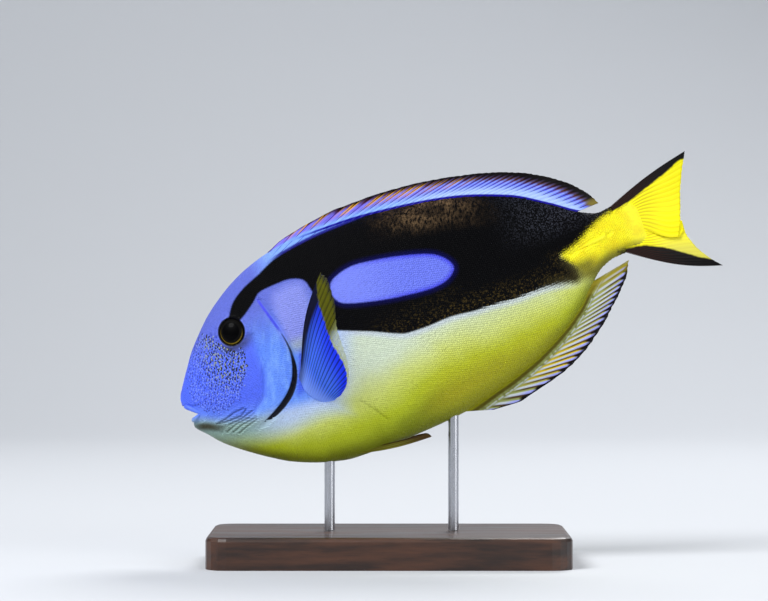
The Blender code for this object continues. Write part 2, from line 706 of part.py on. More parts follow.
def main():
    """Clears the scene and builds every part of the fish and its stand."""
    for obj in list(bpy.data.objects):
        bpy.data.objects.remove(obj)
    head()
    torso()
    tail()
    for side, word in ((-1, "left"), (1, "right")):
        eyeball("eye_" + word, side, 0.0, 12, 24, EYE_TINT)
    dorsal = median_fin("dorsal_fin", DORSAL_BASE, DORSAL_LEAN, DORSAL_MARGIN, BACK_LINE,
                        -FIN_SINK, DORSAL_RAYS, 4, FIN_TINT)
    anal = median_fin("anal_fin", ANAL_BASE, ANAL_LEAN, ANAL_MARGIN, BELLY_LINE, FIN_SINK,
                      ANAL_RAYS, 4, BELLY_TINT)
    caudal_lobe("caudal_fin_upper", 0.0, 0.5)
    caudal_lobe("caudal_fin_lower", 0.5, 1.0)
    rooted = [dorsal, anal]
    for side, word in ((-1, "left"), (1, "right")):
        rooted.append(pectoral_fin("pectoral_fin_" + word, side))
        rooted.append(pelvic_fin("pelvic_fin_" + word, side))
    for fin in rooted:
        combine(fin, [grown_body("body_room")], "DIFFERENCE")
    stand()
    for obj in bpy.context.scene.objects:
        obj.data.shade_smooth()


main()
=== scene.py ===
"""Looks of the regal blue tang display model: skin, scales, fins, eyes, stand and studio."""

import logging
import math
from collections.abc import Callable
from dataclasses import dataclass
from enum import Enum
from functools import partial, reduce

import bmesh
import bpy
import numpy as np
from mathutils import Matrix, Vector


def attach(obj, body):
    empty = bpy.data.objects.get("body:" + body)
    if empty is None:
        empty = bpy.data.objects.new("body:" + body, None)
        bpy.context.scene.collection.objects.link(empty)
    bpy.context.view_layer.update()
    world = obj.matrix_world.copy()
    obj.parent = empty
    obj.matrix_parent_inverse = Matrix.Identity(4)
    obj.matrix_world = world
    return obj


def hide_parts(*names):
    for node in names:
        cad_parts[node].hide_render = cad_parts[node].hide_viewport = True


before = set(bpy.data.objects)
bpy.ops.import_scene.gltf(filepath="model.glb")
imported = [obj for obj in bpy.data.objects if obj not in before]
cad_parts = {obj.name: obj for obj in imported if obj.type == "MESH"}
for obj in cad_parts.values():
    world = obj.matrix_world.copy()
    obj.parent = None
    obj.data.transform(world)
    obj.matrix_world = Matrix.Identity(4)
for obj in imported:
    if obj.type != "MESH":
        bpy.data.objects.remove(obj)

log = logging.getLogger("tang")

MM = 0.001
WELD = 0.002 * MM
Array = np.ndarray
Colour = tuple[float, float, float, float]
Points = tuple[tuple[float, float], ...]
Places = tuple[Array, Array, Array]
Socket = bpy.types.NodeSocket


def colour(code: str) -> Colour:
    """Linear colour of an sRGB hex code.

    Args:
        code: Six hex digits.

    Returns:
        Red, green, blue and 1.
    """
    shares = [int(code[k:k + 2], 16) / 255 for k in (0, 2, 4)]
    linear = [c / 12.92 if c <= 0.04045 else ((c + 0.055) / 1.055) ** 2.4 for c in shares]
    return (linear[0], linear[1], linear[2], 1.0)


def ease(low: float, high: float, x: Array) -> Array:
    """0 below low, 1 above high, and a smooth step between."""
    t = np.clip((np.asarray(x, float) - low) / (high - low), 0.0, 1.0)
    return t * t * (3 - 2 * t)


def hump(x: Array, reach: float) -> Array:
    """1 where x is 0, falling smoothly to 0 at reach on either side."""
    return 1.0 - ease(0.0, reach, np.abs(x))


@dataclass(frozen=True)
class Line:
    """A smooth line through points, with no overshoot between them."""

    points: Points

    def __call__(self, x: Array) -> Array:
        """Height of the line at each x.

        Args:
            x: Places across.

        Returns:
            Heights at them.
        """
        px, py = np.array(self.points, float).T
        steps = np.diff(py) / np.diff(px)
        before, after = steps[:-1], steps[1:]
        same_way = before * after > 0
        total = np.where(same_way, before + after, 1.0)
        inner = np.where(same_way, 2 * before * after / total, 0.0)
        slopes = np.concatenate([[steps[0]], inner, [steps[-1]]])
        x = np.clip(np.asarray(x, float), px[0], px[-1])
        i = np.clip(np.searchsorted(px, x, side="right") - 1, 0, len(px) - 2)
        span = px[i + 1] - px[i]
        t = (x - px[i]) / span
        start = py[i] * (1 + 2 * t) * (1 - t) ** 2 + slopes[i] * span * t * (1 - t) ** 2
        end = py[i + 1] * t * t * (3 - 2 * t) - slopes[i + 1] * span * t * t * (1 - t)
        return start + end


def along(points: tuple[tuple[float, ...], ...], t: Array) -> list[Array]:
    """Coordinates at share t of the way through a list of points, spaced by their order.

    Args:
        points: Points of any width.
        t: Shares from 0 to 1.

    Returns:
        One array for each coordinate.
    """
    places = [k / (len(points) - 1) for k in range(len(points))]
    width = len(points[0])
    return [Line(tuple((a, p[k]) for a, p in zip(places, points)))(t) for k in range(width)]


def distance_to(points: Points, s: Array, h: Array, closed: bool = False) -> Array:
    """Distance from each place (s, h) to a chain of straight lines through the points.

    Args:
        points: The chain.
        s: Stations in mm.
        h: Heights in mm.
        closed: Joins its end to its start.

    Returns:
        Distances in mm.
    """
    chain = list(points) + ([points[0]] if closed else [])
    nearest = np.full(np.shape(s), 1e9)
    for (s0, h0), (s1, h1) in zip(chain, chain[1:]):
        ds, dh = s1 - s0, h1 - h0
        t = np.clip(((s - s0) * ds + (h - h0) * dh) / (ds * ds + dh * dh), 0.0, 1.0)
        nearest = np.minimum(nearest, np.hypot(s - s0 - t * ds, h - h0 - t * dh))
    return nearest


def depth_in(points: Points, s: Array, h: Array) -> Array:
    """Distance from each place to a closed outline: positive inside it, negative outside.

    Args:
        points: The outline.
        s: Stations in mm.
        h: Heights in mm.

    Returns:
        Depths in mm.
    """
    inside = np.zeros(np.shape(s), bool)
    for (s0, h0), (s1, h1) in zip(points, points[1:] + points[:1]):
        if h0 == h1:
            continue
        crosses = (h0 > h) != (h1 > h)
        inside ^= crosses & (s < (s1 - s0) * (h - h0) / (h1 - h0) + s0)
    away = distance_to(points, s, h, closed=True)
    return np.where(inside, away, -away)


def rounded(points: Points, count: int) -> Points:
    """A closed outline through the points, rounded by a smooth curve with count steps each.

    Args:
        points: Its corners.
        count: Steps for each side.

    Returns:
        The new outline.
    """
    made = []
    n = len(points)
    for i in range(n):
        a, b, c, d = (np.array(points[(i + k) % n], float) for k in (-1, 0, 1, 2))
        for k in range(count):
            t = k / count
            spot = 0.5 * (2 * b + (c - a) * t + (2 * a - 5 * b + 4 * c - d) * t * t
                          + (3 * b - a - 3 * c + d) * t ** 3)
            made.append((float(spot[0]), float(spot[1])))
    return tuple(made)


@dataclass(frozen=True)
class FishFrame:
    """The fish's own frame in millimetres: s to the tail, y to its right, h to its back."""

    head_down: float = math.radians(20.0)
    snout_x: float = -103.57
    snout_z: float = 60.4
    swing_from: float = 105.0
    swing_at: float = 212.0
    swing: float = 22.0

    def sideways(self, s: Array) -> Array:
        """How far the tail's sweep moves the midline at s."""
        past = np.maximum(0.0, np.asarray(s, float) - self.swing_from)
        return self.swing * (past / (self.swing_at - self.swing_from)) ** 2

    def place(self, s: Array, y: Array, h: Array) -> Array:
        """World positions, in metres, as rows.

        Args:
            s: Stations in mm.
            y: Distances to the fish's right.
            h: Heights in mm.

        Returns:
            Rows of x, y and z.
        """
        s, y, h = np.broadcast_arrays(np.asarray(s, float), y, h)
        c, d = math.cos(self.head_down), math.sin(self.head_down)
        x = self.snout_x + s * c - h * d
        z = self.snout_z + s * d + h * c
        return np.stack([x, y + self.sideways(s), z], axis=-1) * MM

    def read(self, spots: Array) -> Places:
        """s, y and h of world positions given as rows.

        Args:
            spots: Rows of x, y and z, in metres.

        Returns:
            The three in mm.
        """
        x, y, z = (np.asarray(spots, float) / MM).T
        c, d = math.cos(self.head_down), math.sin(self.head_down)
        s = (x - self.snout_x) * c + (z - self.snout_z) * d
        h = (z - self.snout_z) * c - (x - self.snout_x) * d
        return s, y - self.sideways(s), h


@dataclass(frozen=True)
class EyePlace:
    """Where the eyes sit and how large they are, in millimetres."""

    s: float = 27.4
    h: float = 19.0
    radius: float = 5.4
    narrow: float = 0.94
    depth: float = 3.2
    bulge: float = 1.6


@dataclass(frozen=True)
class BodyForm:
    """The fish's body: its outlines and sections, and the small forms of its skin."""

    at: FishFrame = FishFrame()
    eye: EyePlace = EyePlace()
    back: Line = Line(((0, 1.2), (1.45, 5.7), (2.4, 11.1), (3.2, 17.4), (3.85, 22.4),
                       (4.45, 27.3), (5.15, 32.4), (5.85, 37), (6.5, 40.4), (7.1, 42.6),
                       (7.75, 43.7), (9, 43.6), (10, 42), (11, 38.7), (12, 31.2),
                       (12.55, 23.2), (12.95, 16.4), (13.2, 14), (13.45, 14.9),
                       (13.75, 17.6)))
    belly: Line = Line(((0, -7.6), (1, -9.9), (2.2, -14.2), (3, -19), (3.85, -24),
                        (4.45, -27.7), (5, -31.2), (5.6, -35), (6.7, -40.1), (7.4, -42),
                        (8.2, -42.2), (9.2, -41.4), (9.9, -40.2), (10.75, -35.9),
                        (11.4, -31.3), (12, -24.8), (12.45, -17.6), (12.75, -10.6),
                        (13, -5.9), (13.2, -4.3), (13.45, -4), (13.75, -5.2)))
    width: Line = Line(((0, 2.3), (1, 4), (2.2, 6.2), (3.2, 8.1), (4, 9.7), (5.2, 11.8),
                        (6.7, 14.8), (7.75, 15.8), (8.95, 15.7), (10, 14), (10.95, 11.3),
                        (11.8, 8.1), (12.45, 5.4), (12.85, 4), (13.2, 2.9), (13.45, 2.2),
                        (13.57, 1.7), (13.68, 0.9), (13.75, 0.3)))
    level: Line = Line(((0, -3.4), (3.2, -4), (5.2, -3), (6.7, -1.5), (11, -1),
                        (12.3, 2.5), (13.45, 4.6)))
    back_round: Line = Line(((0, 2.2), (5, 1.9), (7.5, 1.75), (11, 1.65), (12.5, 1.8),
                             (13.45, 2)))
    belly_round: Line = Line(((0, 2.2), (7.5, 2.1), (9, 1.95), (10.5, 1.7), (12, 1.7),
                              (13.45, 2)))
    gill: Points = ((36, 60), (37.5, 45), (40.5, 28), (43.4, 17.5), (45.2, 11),
                    (45.8, 5), (45, 0), (43.4, -4.5), (40.6, -8.6), (36.4, -12.2),
                    (31, -15.4), (25, -18.4), (19.5, -23), (15.5, -30), (14, -60))
    mouth: Points = ((0.8, -4.2), (3.2, -5.6), (5.7, -6))
    mouth_cut: Points = ((-3, -1.2), (0.6, -1.2), (1.3, -2.2), (2.6, -3.8), (3.9, -5.1),
                         (5.7, -6), (4.5, -6.8), (3, -7.1), (2.2, -8), (1.6, -9.2),
                         (1.6, -10.2), (-3, -12.5))
    nostrils: tuple[tuple[float, float, float], ...] = ((19.3, 20.4, 0.75), (20.9, 19.0, 0.55))
    wrinkles: tuple[Points, ...] = (
        ((11.2, -12.1), (15.9, -12.2), (20, -12.1), (22.6, -10.2)),
        ((10.2, -11.8), (14.1, -11.1), (18.2, -9.9), (21.9, -9.6)),
        ((12.9, -15.9), (17.2, -14.3), (22.7, -13.6)),
        ((17, -17.9), (20.5, -16.5), (25, -15.3)),
        ((15, -16.8), (19, -15.3), (25.2, -14.4)),
        ((14.5, -13.6), (19.5, -13.1), (24.6, -11.6)))
    # Cheek's rear edge, belly crease and scalpel groove: each line's depth and half width.
    dents: tuple[tuple[Points, float, float], ...] = (
        (((34, 15), (34.5, 2), (31, -8), (24, -13.5)), 0.16, 1.8),
        (((64, -22.3), (67.8, -27), (71, -32.4)), 0.13, 1.3),
        (((158, 2.6), (175.5, 5.1)), 0.3, 1.3))

    def shape(self, s: Array) -> list[Array]:
        """Top, bottom, widest level, half width and the two roundnesses at s.

        Args:
            s: Stations in mm.

        Returns:
            The six lines' values.
        """
        root = np.sqrt(np.maximum(0.0, np.asarray(s, float)))
        lines = (self.back, self.belly, self.level, self.width, self.back_round,
                 self.belly_round)
        return [line(root) for line in lines]

    def side(self, s: Array, h: Array) -> Array:
        """Half the body's thickness at s and h.

        Args:
            s: Stations in mm.
            h: Heights in mm.

        Returns:
            Half thickness in mm.
        """
        top, bottom, level, width, up_round, down_round = self.shape(s)
        above = h >= level
        share = np.where(above, (h - level) / (top - level), (level - h) / (level - bottom))
        n = np.where(above, up_round, down_round)
        return width * np.maximum(0.0, 1.0 - np.clip(share, 0.0, 1.0) ** n) ** (1.0 / n)

    def underside(self, s: Array, y: float) -> Array:
        """Height of the belly at s and distance y from the midline.

        Args:
            s: Stations in mm.
            y: Distance from the midline.

        Returns:
            Heights in mm.
        """
        _, bottom, level, width, _, n = self.shape(s)
        share = (1.0 - np.minimum(1.0, abs(y) / width) ** n) ** (1.0 / n)
        return level - (level - bottom) * share

    def behind_gill(self, s: Array, h: Array) -> Array:
        """How far a place lies behind the gill cover's edge, negative on the cover.

        Args:
            s: Stations in mm.
            h: Heights in mm.

        Returns:
            Distances in mm.
        """
        edge = Line(tuple(sorted((p[1], p[0]) for p in self.gill)))
        reach = np.linspace(-32.0, 50.0, 60)
        chain = tuple((float(a), float(b)) for a, b in zip(edge(reach), reach))
        return np.sign(s - edge(h)) * distance_to(chain, s, h)

    def eye_share(self, s: Array, h: Array) -> Array:
        """Distance from the eye's centre as a share of the eye's visible radius.

        Args:
            s: Stations in mm.
            h: Heights in mm.

        Returns:
            1 on the eye's rim.
        """
        c, d = math.cos(self.at.head_down), math.sin(self.at.head_down)
        across = ((s - self.eye.s) * c - (h - self.eye.h) * d) / self.eye.narrow
        up = (s - self.eye.s) * d + (h - self.eye.h) * c
        return np.hypot(across, up) / self.eye.radius

    def swell(self, s: Array, h: Array) -> Array:
        """The large soft forms of the head: gill cover, cheek and brow.

        Args:
            s: Stations in mm.
            h: Heights in mm.

        Returns:
            Rise in mm.
        """
        behind = self.behind_gill(s, h)
        on_cover = ease(-20.0, -12.0, h) * (1.0 - ease(16.0, 24.0, h))
        cover = 0.9 * on_cover * ease(-9.0, -1.0, behind) * (1.0 - ease(0.0, 0.5, behind))
        cheek = 0.5 * hump(s - 19.0, 12.0) * hump(h + 4.0, 16.0)
        away = np.hypot(s - self.eye.s, h - self.eye.h)
        brow = 0.35 * hump(away - self.eye.radius - 0.6, 4.0)
        head_only = 1.0 - ease(0.3, 0.8, behind)
        return cover + (cheek + brow) * head_only

    def relief(self, s: Array, h: Array) -> Array:
        """The fine forms of the skin, in millimetres out along its normal.

        Args:
            s: Stations in mm.
            h: Heights in mm.

        Returns:
            Rise in mm, negative in a hollow.
        """
        behind = self.behind_gill(s, h)
        on_cover = ease(-19.0, -14.0, h) * (1.0 - ease(24.0, 30.0, h))
        out = -0.55 * on_cover * hump(behind - 0.75, 0.9)
        slit = distance_to(self.mouth, s, h)
        out -= 0.22 * hump(slit - 2.9, 0.9) * hump(s - 2.0, 7.0)
        for s0, h0, size in self.nostrils:
            away = np.hypot(s - s0, h - h0)
            out += -0.9 * hump(away, size * 1.25) + 0.14 * hump(away - size * 1.6, size)
        for line in self.wrinkles:
            fold = distance_to(line, s, h)
            out += -0.17 * hump(fold, 0.55) + 0.07 * hump(fold - 0.8, 0.55)
        for line, depth, reach in self.dents:
            out -= depth * hump(distance_to(line, s, h), reach)
        eye = self.eye_share(s, h)
        out += 0.28 * hump(eye - 1.06, 0.14) - 2.6 * (1.0 - ease(0.72, 0.97, eye))
        return out

    def folds(self, s: Array, h: Array) -> Array:
        """1 along the throat's folds, falling to 0 beside them."""
        return np.max([hump(distance_to(line, s, h), 0.5) for line in self.wrinkles], axis=0)

    def surface(self, s: Array, h: Array) -> Array:
        """Half the skin's thickness at s and h, with its soft and fine forms."""
        plain = np.maximum(0.0, self.side(s, h) - 0.12)
        return plain + self.swell(s, h) * np.minimum(1.0, plain / 4.0) + self.relief(s, h)

    def bare(self, s: Array, h: Array) -> Array:
        """Whether a place has no scales: lips, nostrils, eye and the gill opening.

        Args:
            s: Stations in mm.
            h: Heights in mm.

        Returns:
            True where it's bare.
        """
        behind = self.behind_gill(s, h)
        none = (distance_to(self.mouth, s, h) < 2.4) | (self.eye_share(s, h) < 1.1)
        none |= (behind > -0.5) & (behind < 2.1) & (h > -19.0) & (h < 27.0)
        for s0, h0, size in self.nostrils:
            none |= np.hypot(s - s0, h - h0) < size * 1.7
        return none

    def normal(self, s: float, h: float, side: int) -> Vector:
        """Direction the flank faces at a place, in the fish's frame.

        Args:
            s: Stations in mm.
            h: Heights in mm.
            side: -1 for the fish's left, 1 for its right.

        Returns:
            A direction of length 1.
        """
        step = 0.5
        by_s = float(self.side(s + step, h) - self.side(s - step, h)) / (2 * step)
        by_h = float(self.side(s, h + step) - self.side(s, h - step)) / (2 * step)
        return Vector((-by_s, side, -by_h)).normalized()


@dataclass(frozen=True)
class Sail:
    """A fin on the midline whose rays lean back from the body's outline to its margin."""

    base: tuple[float, float]
    lean: Line
    margin: Line
    rays: Line
    outline: Line
    sink: float
    ripple: float = 0.3

    def ends(self, q: Array) -> tuple[Array, Array, Array, Array]:
        """Foot and tip of the ray at share q, as s and h of each.

        Args:
            q: Share across the rays.

        Returns:
            Foot's s and h, tip's s and h.
        """
        foot_s = self.base[0] + (self.base[1] - self.base[0]) * q
        tip_s = foot_s + self.lean(q)
        return foot_s, self.outline(np.sqrt(foot_s)) + self.sink, tip_s, self.margin(tip_s)

    def middle(self, q: Array, t: Array) -> Places:
        """The fin's middle surface.

        Args:
            q: Share across the rays.
            t: Share of the way to the margin.

        Returns:
            s, y and h.
        """
        foot_s, foot_h, tip_s, tip_h = self.ends(q)
        ripple = self.ripple * np.sin(q * 40.0) * t * t
        return foot_s + (tip_s - foot_s) * t, ripple, foot_h + (tip_h - foot_h) * t

    def clear(self, q: Array, t: Array) -> Array:
        """Millimetres from the body's outline to a place on the fin."""
        s, _, h = self.middle(q, t)
        return -math.copysign(1.0, self.sink) * (h - self.outline(np.sqrt(np.maximum(0.0, s))))

    def count_at(self, s: Array, h: Array) -> Array:
        """Number of rays ahead of a place on the fin, or on the body below it.

        Args:
            s: Stations in mm.
            h: Heights in mm.

        Returns:
            Rays passed, as fractions too.
        """
        q = np.clip((s - self.base[0]) / (self.base[1] - self.base[0]), 0.0, 1.0)
        for _ in range(4):
            foot_s, foot_h, tip_s, tip_h = self.ends(q)
            back = (tip_s - foot_s) * np.clip((h - foot_h) / (tip_h - foot_h), -0.6, 1.2)
            q = np.clip((s - back - self.base[0]) / (self.base[1] - self.base[0]), 0.0, 1.0)
        return self.rays(q)


def dorsal_sail(form: BodyForm) -> Sail:
    """The fin of the back.

    Args:
        form: The fish's body.

    Returns:
        The fin's form.
    """
    lean = Line(((0, 4), (0.09, 11), (0.25, 19.5), (0.45, 23), (0.65, 22),
                 (0.8, 20), (0.92, 16.2), (1, 10.8)))
    margin = Line(((49.5, 42.2), (52.5, 43.7), (56, 45.2), (62, 46.6), (71, 48.2),
                   (81.5, 49.4), (93.6, 49.4), (105.5, 48.8), (117.1, 47.4), (132, 44.5),
                   (143, 41.5), (153.4, 37.3), (163.3, 31.4), (169.6, 26), (174, 20.4),
                   (175.4, 17.4)))
    rays = Line(((0, 0), (0.3, 8), (0.52, 16), (0.8, 29), (1, 39)))
    return Sail((46.5, 164.6), lean, margin, rays, form.back, -1.2)


def anal_sail(form: BodyForm) -> Sail:
    """The fin of the belly.

    Args:
        form: The fish's body.

    Returns:
        The fin's form.
    """
    lean = Line(((0, 13), (0.06, 21), (0.27, 30), (0.5, 30), (0.74, 26),
                 (0.9, 21.5), (1, 17.4)))
    margin = Line(((108, -42.6), (120.1, -43.4), (128.5, -41.6), (141, -38.4),
                   (151.6, -33.4), (161, -26.8), (168, -20.6), (175.6, -13),
                   (179, -7.2)))
    rays = Line(((0, 0), (0.4, 7.5), (1, 20)))
    return Sail((97.5, 161.6), lean, margin, rays, form.belly, 1.2)


@dataclass(frozen=True)
class Markings:
    """The regal blue tang's pattern, as outlines in the fish's frame."""

    saddle: Points = (
        (27, 22.6), (28.6, 25.2), (31.6, 29.4), (37, 33), (44.3, 36), (50.5, 38.9),
        (58, 40.6), (70, 42.2), (86, 42.9), (102, 43.6), (117, 42.6), (129.5, 40),
        (147, 33), (160, 25.6), (168, 20.4), (174.5, 17.6), (181.5, 20.4),
        (190, 27), (199, 34), (222, 42), (219, 23.6), (211.5, 22.4),
        (204.3, 19.6),
        (195, 16.6), (186, 13.7), (175.5, 11.9), (169, 9.6), (161.5, 5.6), (154.5, 3.4),
        (156, 1.2), (157.8, -1.8), (158.4, -5), (157, -8.2), (152, -7.3),
        (143.5, -5.9), (132.5, -6), (124.5, -5.3), (116, -4.9), (107, -3.9),
        (98.5, -4.3), (91.5, -4.2), (87, -3.4), (76.5, 1.3), (64.5, 6.1), (60, 9),
        (61.4, 19), (60.8, 24.4), (59.8, 27.6), (57.4, 29.3), (54, 30.2), (50.6, 30.2),
        (44.8, 29.8), (41.6, 29), (39.2, 26.8), (34.8, 23.6), (31.5, 21.6), (29.5, 20))
    oval: Points = ((67.9, 20.8), (70, 24.4), (77.7, 26.7), (87, 25.9), (97.3, 24),
                    (107.9, 20.8), (113, 16.8), (114.3, 12.8), (110.3, 9.6), (104.2, 8.6),
                    (95.2, 9.3), (84.4, 11), (72.5, 14), (68.6, 16.8))
    low_lobe: Points = ((176, -2.6), (181.5, -3), (184.5, -3.4), (189.4, -5), (197.1, -9.4),
                        (205.9, -15.6), (216, -22), (216, -34), (196, -30),
                        (176, -13), (176.5, -5.6))
    olive: Line = Line(((0, -6), (5, -10.5), (13.9, -15), (27, -22), (37, -27.5),
                        (53, -27.5), (78, -24), (101, -17.5), (121, -16.5),
                        (147, -14.5), (160, -11.5), (190, -11.5)))
    blue_under: Line = Line(((0, -6.2), (5.1, -7.2), (11.7, -10), (22, -12.6),
                             (28, -13.4), (33.5, -13.8), (42, -14.6), (48, -15.2),
                             (60, -18)))
    blue_rear: Line = Line(((-20, 50), (-12, 54), (0, 60), (8, 64),
                            (14, 68), (22, 110), (30, 250)))
    lilac_patch: Points = ((46.2, 26), (50, 28), (54, 28.6), (59, 26),
                           (58.5, 12), (52, 4), (46.5, 5), (45, 14))
    gill_ends: tuple[float, float] = (-17.2, 12.3)
    gill_width: Line = Line(((-17.6, 0.9), (-16.2, 1.9), (-12, 2.3), (-6, 2),
                             (-1, 1.5), (3, 0.8), (8, 0.4), (12.5, 0)))
    cheek_rear: Line = Line(((-20, 19), (-13, 25.5), (-8, 31), (2, 34),
                             (14, 34), (20, 33), (40, 33)))
    speckles: Points = ((12.5, 19.5), (15.5, 23), (20.5, 18.5), (26, 12), (29.5, 11.5),
                        (28.5, 4), (25, -2), (21, -6.5), (14.5, -8.8), (7.5, -6),
                        (4.8, 0), (5.2, 9))

    def black(self, s: Array, h: Array) -> Array:
        """Depth inside the black areas, in millimetres: negative outside them.

        Args:
            s: Stations in mm.
            h: Heights in mm.

        Returns:
            Depths in mm.
        """
        saddle = depth_in(rounded(self.saddle, 3), s, h)
        lobe = depth_in(rounded(self.low_lobe, 3), s, h)
        return np.maximum(np.minimum(saddle, -self.blue_oval(s, h)), lobe)

    def blue_oval(self, s: Array, h: Array) -> Array:
        """Depth inside the blue oval."""
        return depth_in(rounded(self.oval, 4), s, h)

    def tail(self, s: Array, h: Array) -> Array:
        """1 on the yellow tail, falling to 0 ahead of it.

        Args:
            s: Stations in mm.
            h: Heights in mm.

        Returns:
            Shares from 0 to 1.
        """
        front = 152.0 + 0.9 * np.maximum(0.0, 2.0 - h)
        faint = 0.55 * ease(-3.0, -10.0, h) * ease(172.0, 160.0, s)
        return ease(-1.5, 3.5, s - front) * (1.0 - faint)

    def blue(self, s: Array, h: Array) -> Array:
        """Depth inside the blue of the head, and of the strip along the back."""
        return np.minimum(h - self.blue_under(s), 0.8 * (self.blue_rear(h) - s))

    def low(self, s: Array, h: Array) -> Array:
        """Height above the belly's olive lower zone, in millimetres."""
        return h - self.olive(s)

    def lilac(self, s: Array, h: Array) -> Array:
        """1 on the pale violet patch behind the head."""
        return ease(-2.5, 3.0, depth_in(rounded(self.lilac_patch, 3), s, h))

    def mottled(self, form: BodyForm, s: Array, h: Array) -> Array:
        """1 on the brown, finely streaked patch below the fin of the back."""
        under = form.back(np.sqrt(np.maximum(0.0, s))) - h
        return hump(s - 113.0, 27.0) * (1.0 - ease(4.0, 14.0, under))

    def stippled(self, black: Array, s: Array, h: Array) -> Array:
        """1 along the black's lower edge, where it is broken by olive-brown specks."""
        low = (1.0 - ease(2.0, 10.0, black)) * (1.0 - ease(0.0, 8.0, h))
        return low * ease(70.0, 96.0, s)

    def gill_shadow(self, form: BodyForm, s: Array, h: Array) -> Array:
        """Depth inside the dark crescent behind the gill cover.

        Args:
            form: The fish's body.
            s: Stations in mm.
            h: Heights in mm.

        Returns:
            Depths in mm.
        """
        behind = form.behind_gill(s, h)
        within = np.minimum(behind + 0.2, self.gill_width(h) - behind + 0.1)
        return np.where((h > self.gill_ends[0]) & (h < self.gill_ends[1]), within, -3.0)

    def cheek(self, s: Array, h: Array) -> Array:
        """1 on the cheek ahead of the gill cover, 0 on the cover and behind it."""
        return 1.0 - ease(-3.5, 3.5, s - self.cheek_rear(h))

    def speckled(self, s: Array, h: Array) -> Array:
        """1 on the speckled cheek below and ahead of the eye, fading towards the lips."""
        return ease(-1.4, 2.0, depth_in(rounded(self.speckles, 3), s, h))


def marks_of(form: BodyForm, marks: Markings, s: Array, h: Array) -> dict[str, Array]:
    """The pattern's values at each place, for a mesh of skin or of scales.

    Args:
        form: The fish's body.
        marks: The fish's pattern.
        s: Stations in mm.
        h: Heights in mm.

    Returns:
        Rows of values by name.
    """
    black = marks.black(s, h)
    root = np.sqrt(np.maximum(0.0, s))
    return {
        "black": black,
        "oval": marks.blue_oval(s, h),
        "tail": marks.tail(s, h),
        "blue": marks.blue(s, h),
        "low": marks.low(s, h),
        "lilac": marks.lilac(s, h),
        "gill": marks.gill_shadow(form, s, h),
        "mottled": marks.mottled(form, s, h),
        "stippled": marks.stippled(black, s, h),
        "socket": form.eye_share(s, h),
        "seam": np.abs(form.behind_gill(s, h)),
        "keel": h - form.belly(root),
        "comb": dorsal_sail(form).count_at(s, h),
        "cheek": marks.cheek(s, h),
        "fold": form.folds(s, h),
        "run": np.asarray(s, float),
        "rise": np.asarray(h, float),
    }


def carry(mesh: bpy.types.Mesh, values: dict[str, Array]) -> None:
    """Stores values on the mesh's vertices.

    Args:
        mesh: The mesh.
        values: Rows by the value's name.
    """
    for name, rows in values.items():
        layer = mesh.attributes.new(name, "FLOAT", "POINT")
        layer.data.foreach_set("value", np.ascontiguousarray(rows, dtype=np.float32))


def link(name: str, data: bpy.types.ID) -> bpy.types.Object:
    """A new object in the scene with the data given.

    Args:
        name: The new object's name.
        data: Its mesh, camera or lamp.

    Returns:
        The object.
    """
    obj = bpy.data.objects.new(name, data)
    bpy.context.scene.collection.objects.link(obj)
    return obj


def add_piece(name: str, mesh: bpy.types.Mesh,
              nodes: tuple[str, ...] = ()) -> bpy.types.Object:
    """Links a finished mesh to the scene as a piece of the object.

    Args:
        name: The piece's name.
        mesh: Its mesh, in world coordinates.
        nodes: CAD nodes it stands for.

    Returns:
        The new object.
    """
    obj = link(name, mesh)
    mesh.shade_smooth()
    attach(obj, "root")
    if nodes:
        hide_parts(*nodes)
    log.info("%s: %d triangles", name, sum(len(p.vertices) - 2 for p in mesh.polygons))
    return obj


def mesh_of(name: str, work: bmesh.types.BMesh) -> bpy.types.Mesh:
    """A mesh from a bmesh, which is freed.

    Args:
        name: The mesh's name.
        work: The bmesh.

    Returns:
        The mesh.
    """
    mesh = bpy.data.meshes.new(name)
    bmesh.ops.recalc_face_normals(work, faces=work.faces)
    work.to_mesh(mesh)
    work.free()
    return mesh


def turn_out(mesh: bpy.types.Mesh, weld: bool = False) -> None:
    """Turns a closed mesh's faces outwards.

    Args:
        mesh: The mesh.
        weld: Joins vertices that meet.
    """
    work = bmesh.new()
    work.from_mesh(mesh)
    if weld:
        bmesh.ops.remove_doubles(work, verts=work.verts, dist=WELD)
    bmesh.ops.recalc_face_normals(work, faces=work.faces)
    if work.calc_volume(signed=True) < 0:
        bmesh.ops.reverse_faces(work, faces=work.faces)
    work.to_mesh(mesh)
    work.free()


def arrays_of(work: bmesh.types.BMesh) -> tuple[Array, Array]:
    """The form in a bmesh as arrays; the bmesh is freed.

    Args:
        work: The bmesh.

    Returns:
        Positions, and triangles as rows of their indices.
    """
    bmesh.ops.triangulate(work, faces=work.faces)
    work.verts.index_update()
    spots = np.array([v.co for v in work.verts])
    tris = np.array([[v.index for v in f.verts] for f in work.faces])
    work.free()
    return spots, tris


def unit(rows: Array) -> Array:
    """The rows as directions of length 1."""
    return rows / np.maximum(np.linalg.norm(rows, axis=-1, keepdims=True), 1e-15)


def read_spots(mesh: bpy.types.Mesh) -> Array:
    """The mesh's vertex positions as rows.

    Args:
        mesh: The mesh.

    Returns:
        Rows of x, y and z.
    """
    flat = np.empty(len(mesh.vertices) * 3)
    mesh.vertices.foreach_get("co", flat)
    return flat.reshape(-1, 3)


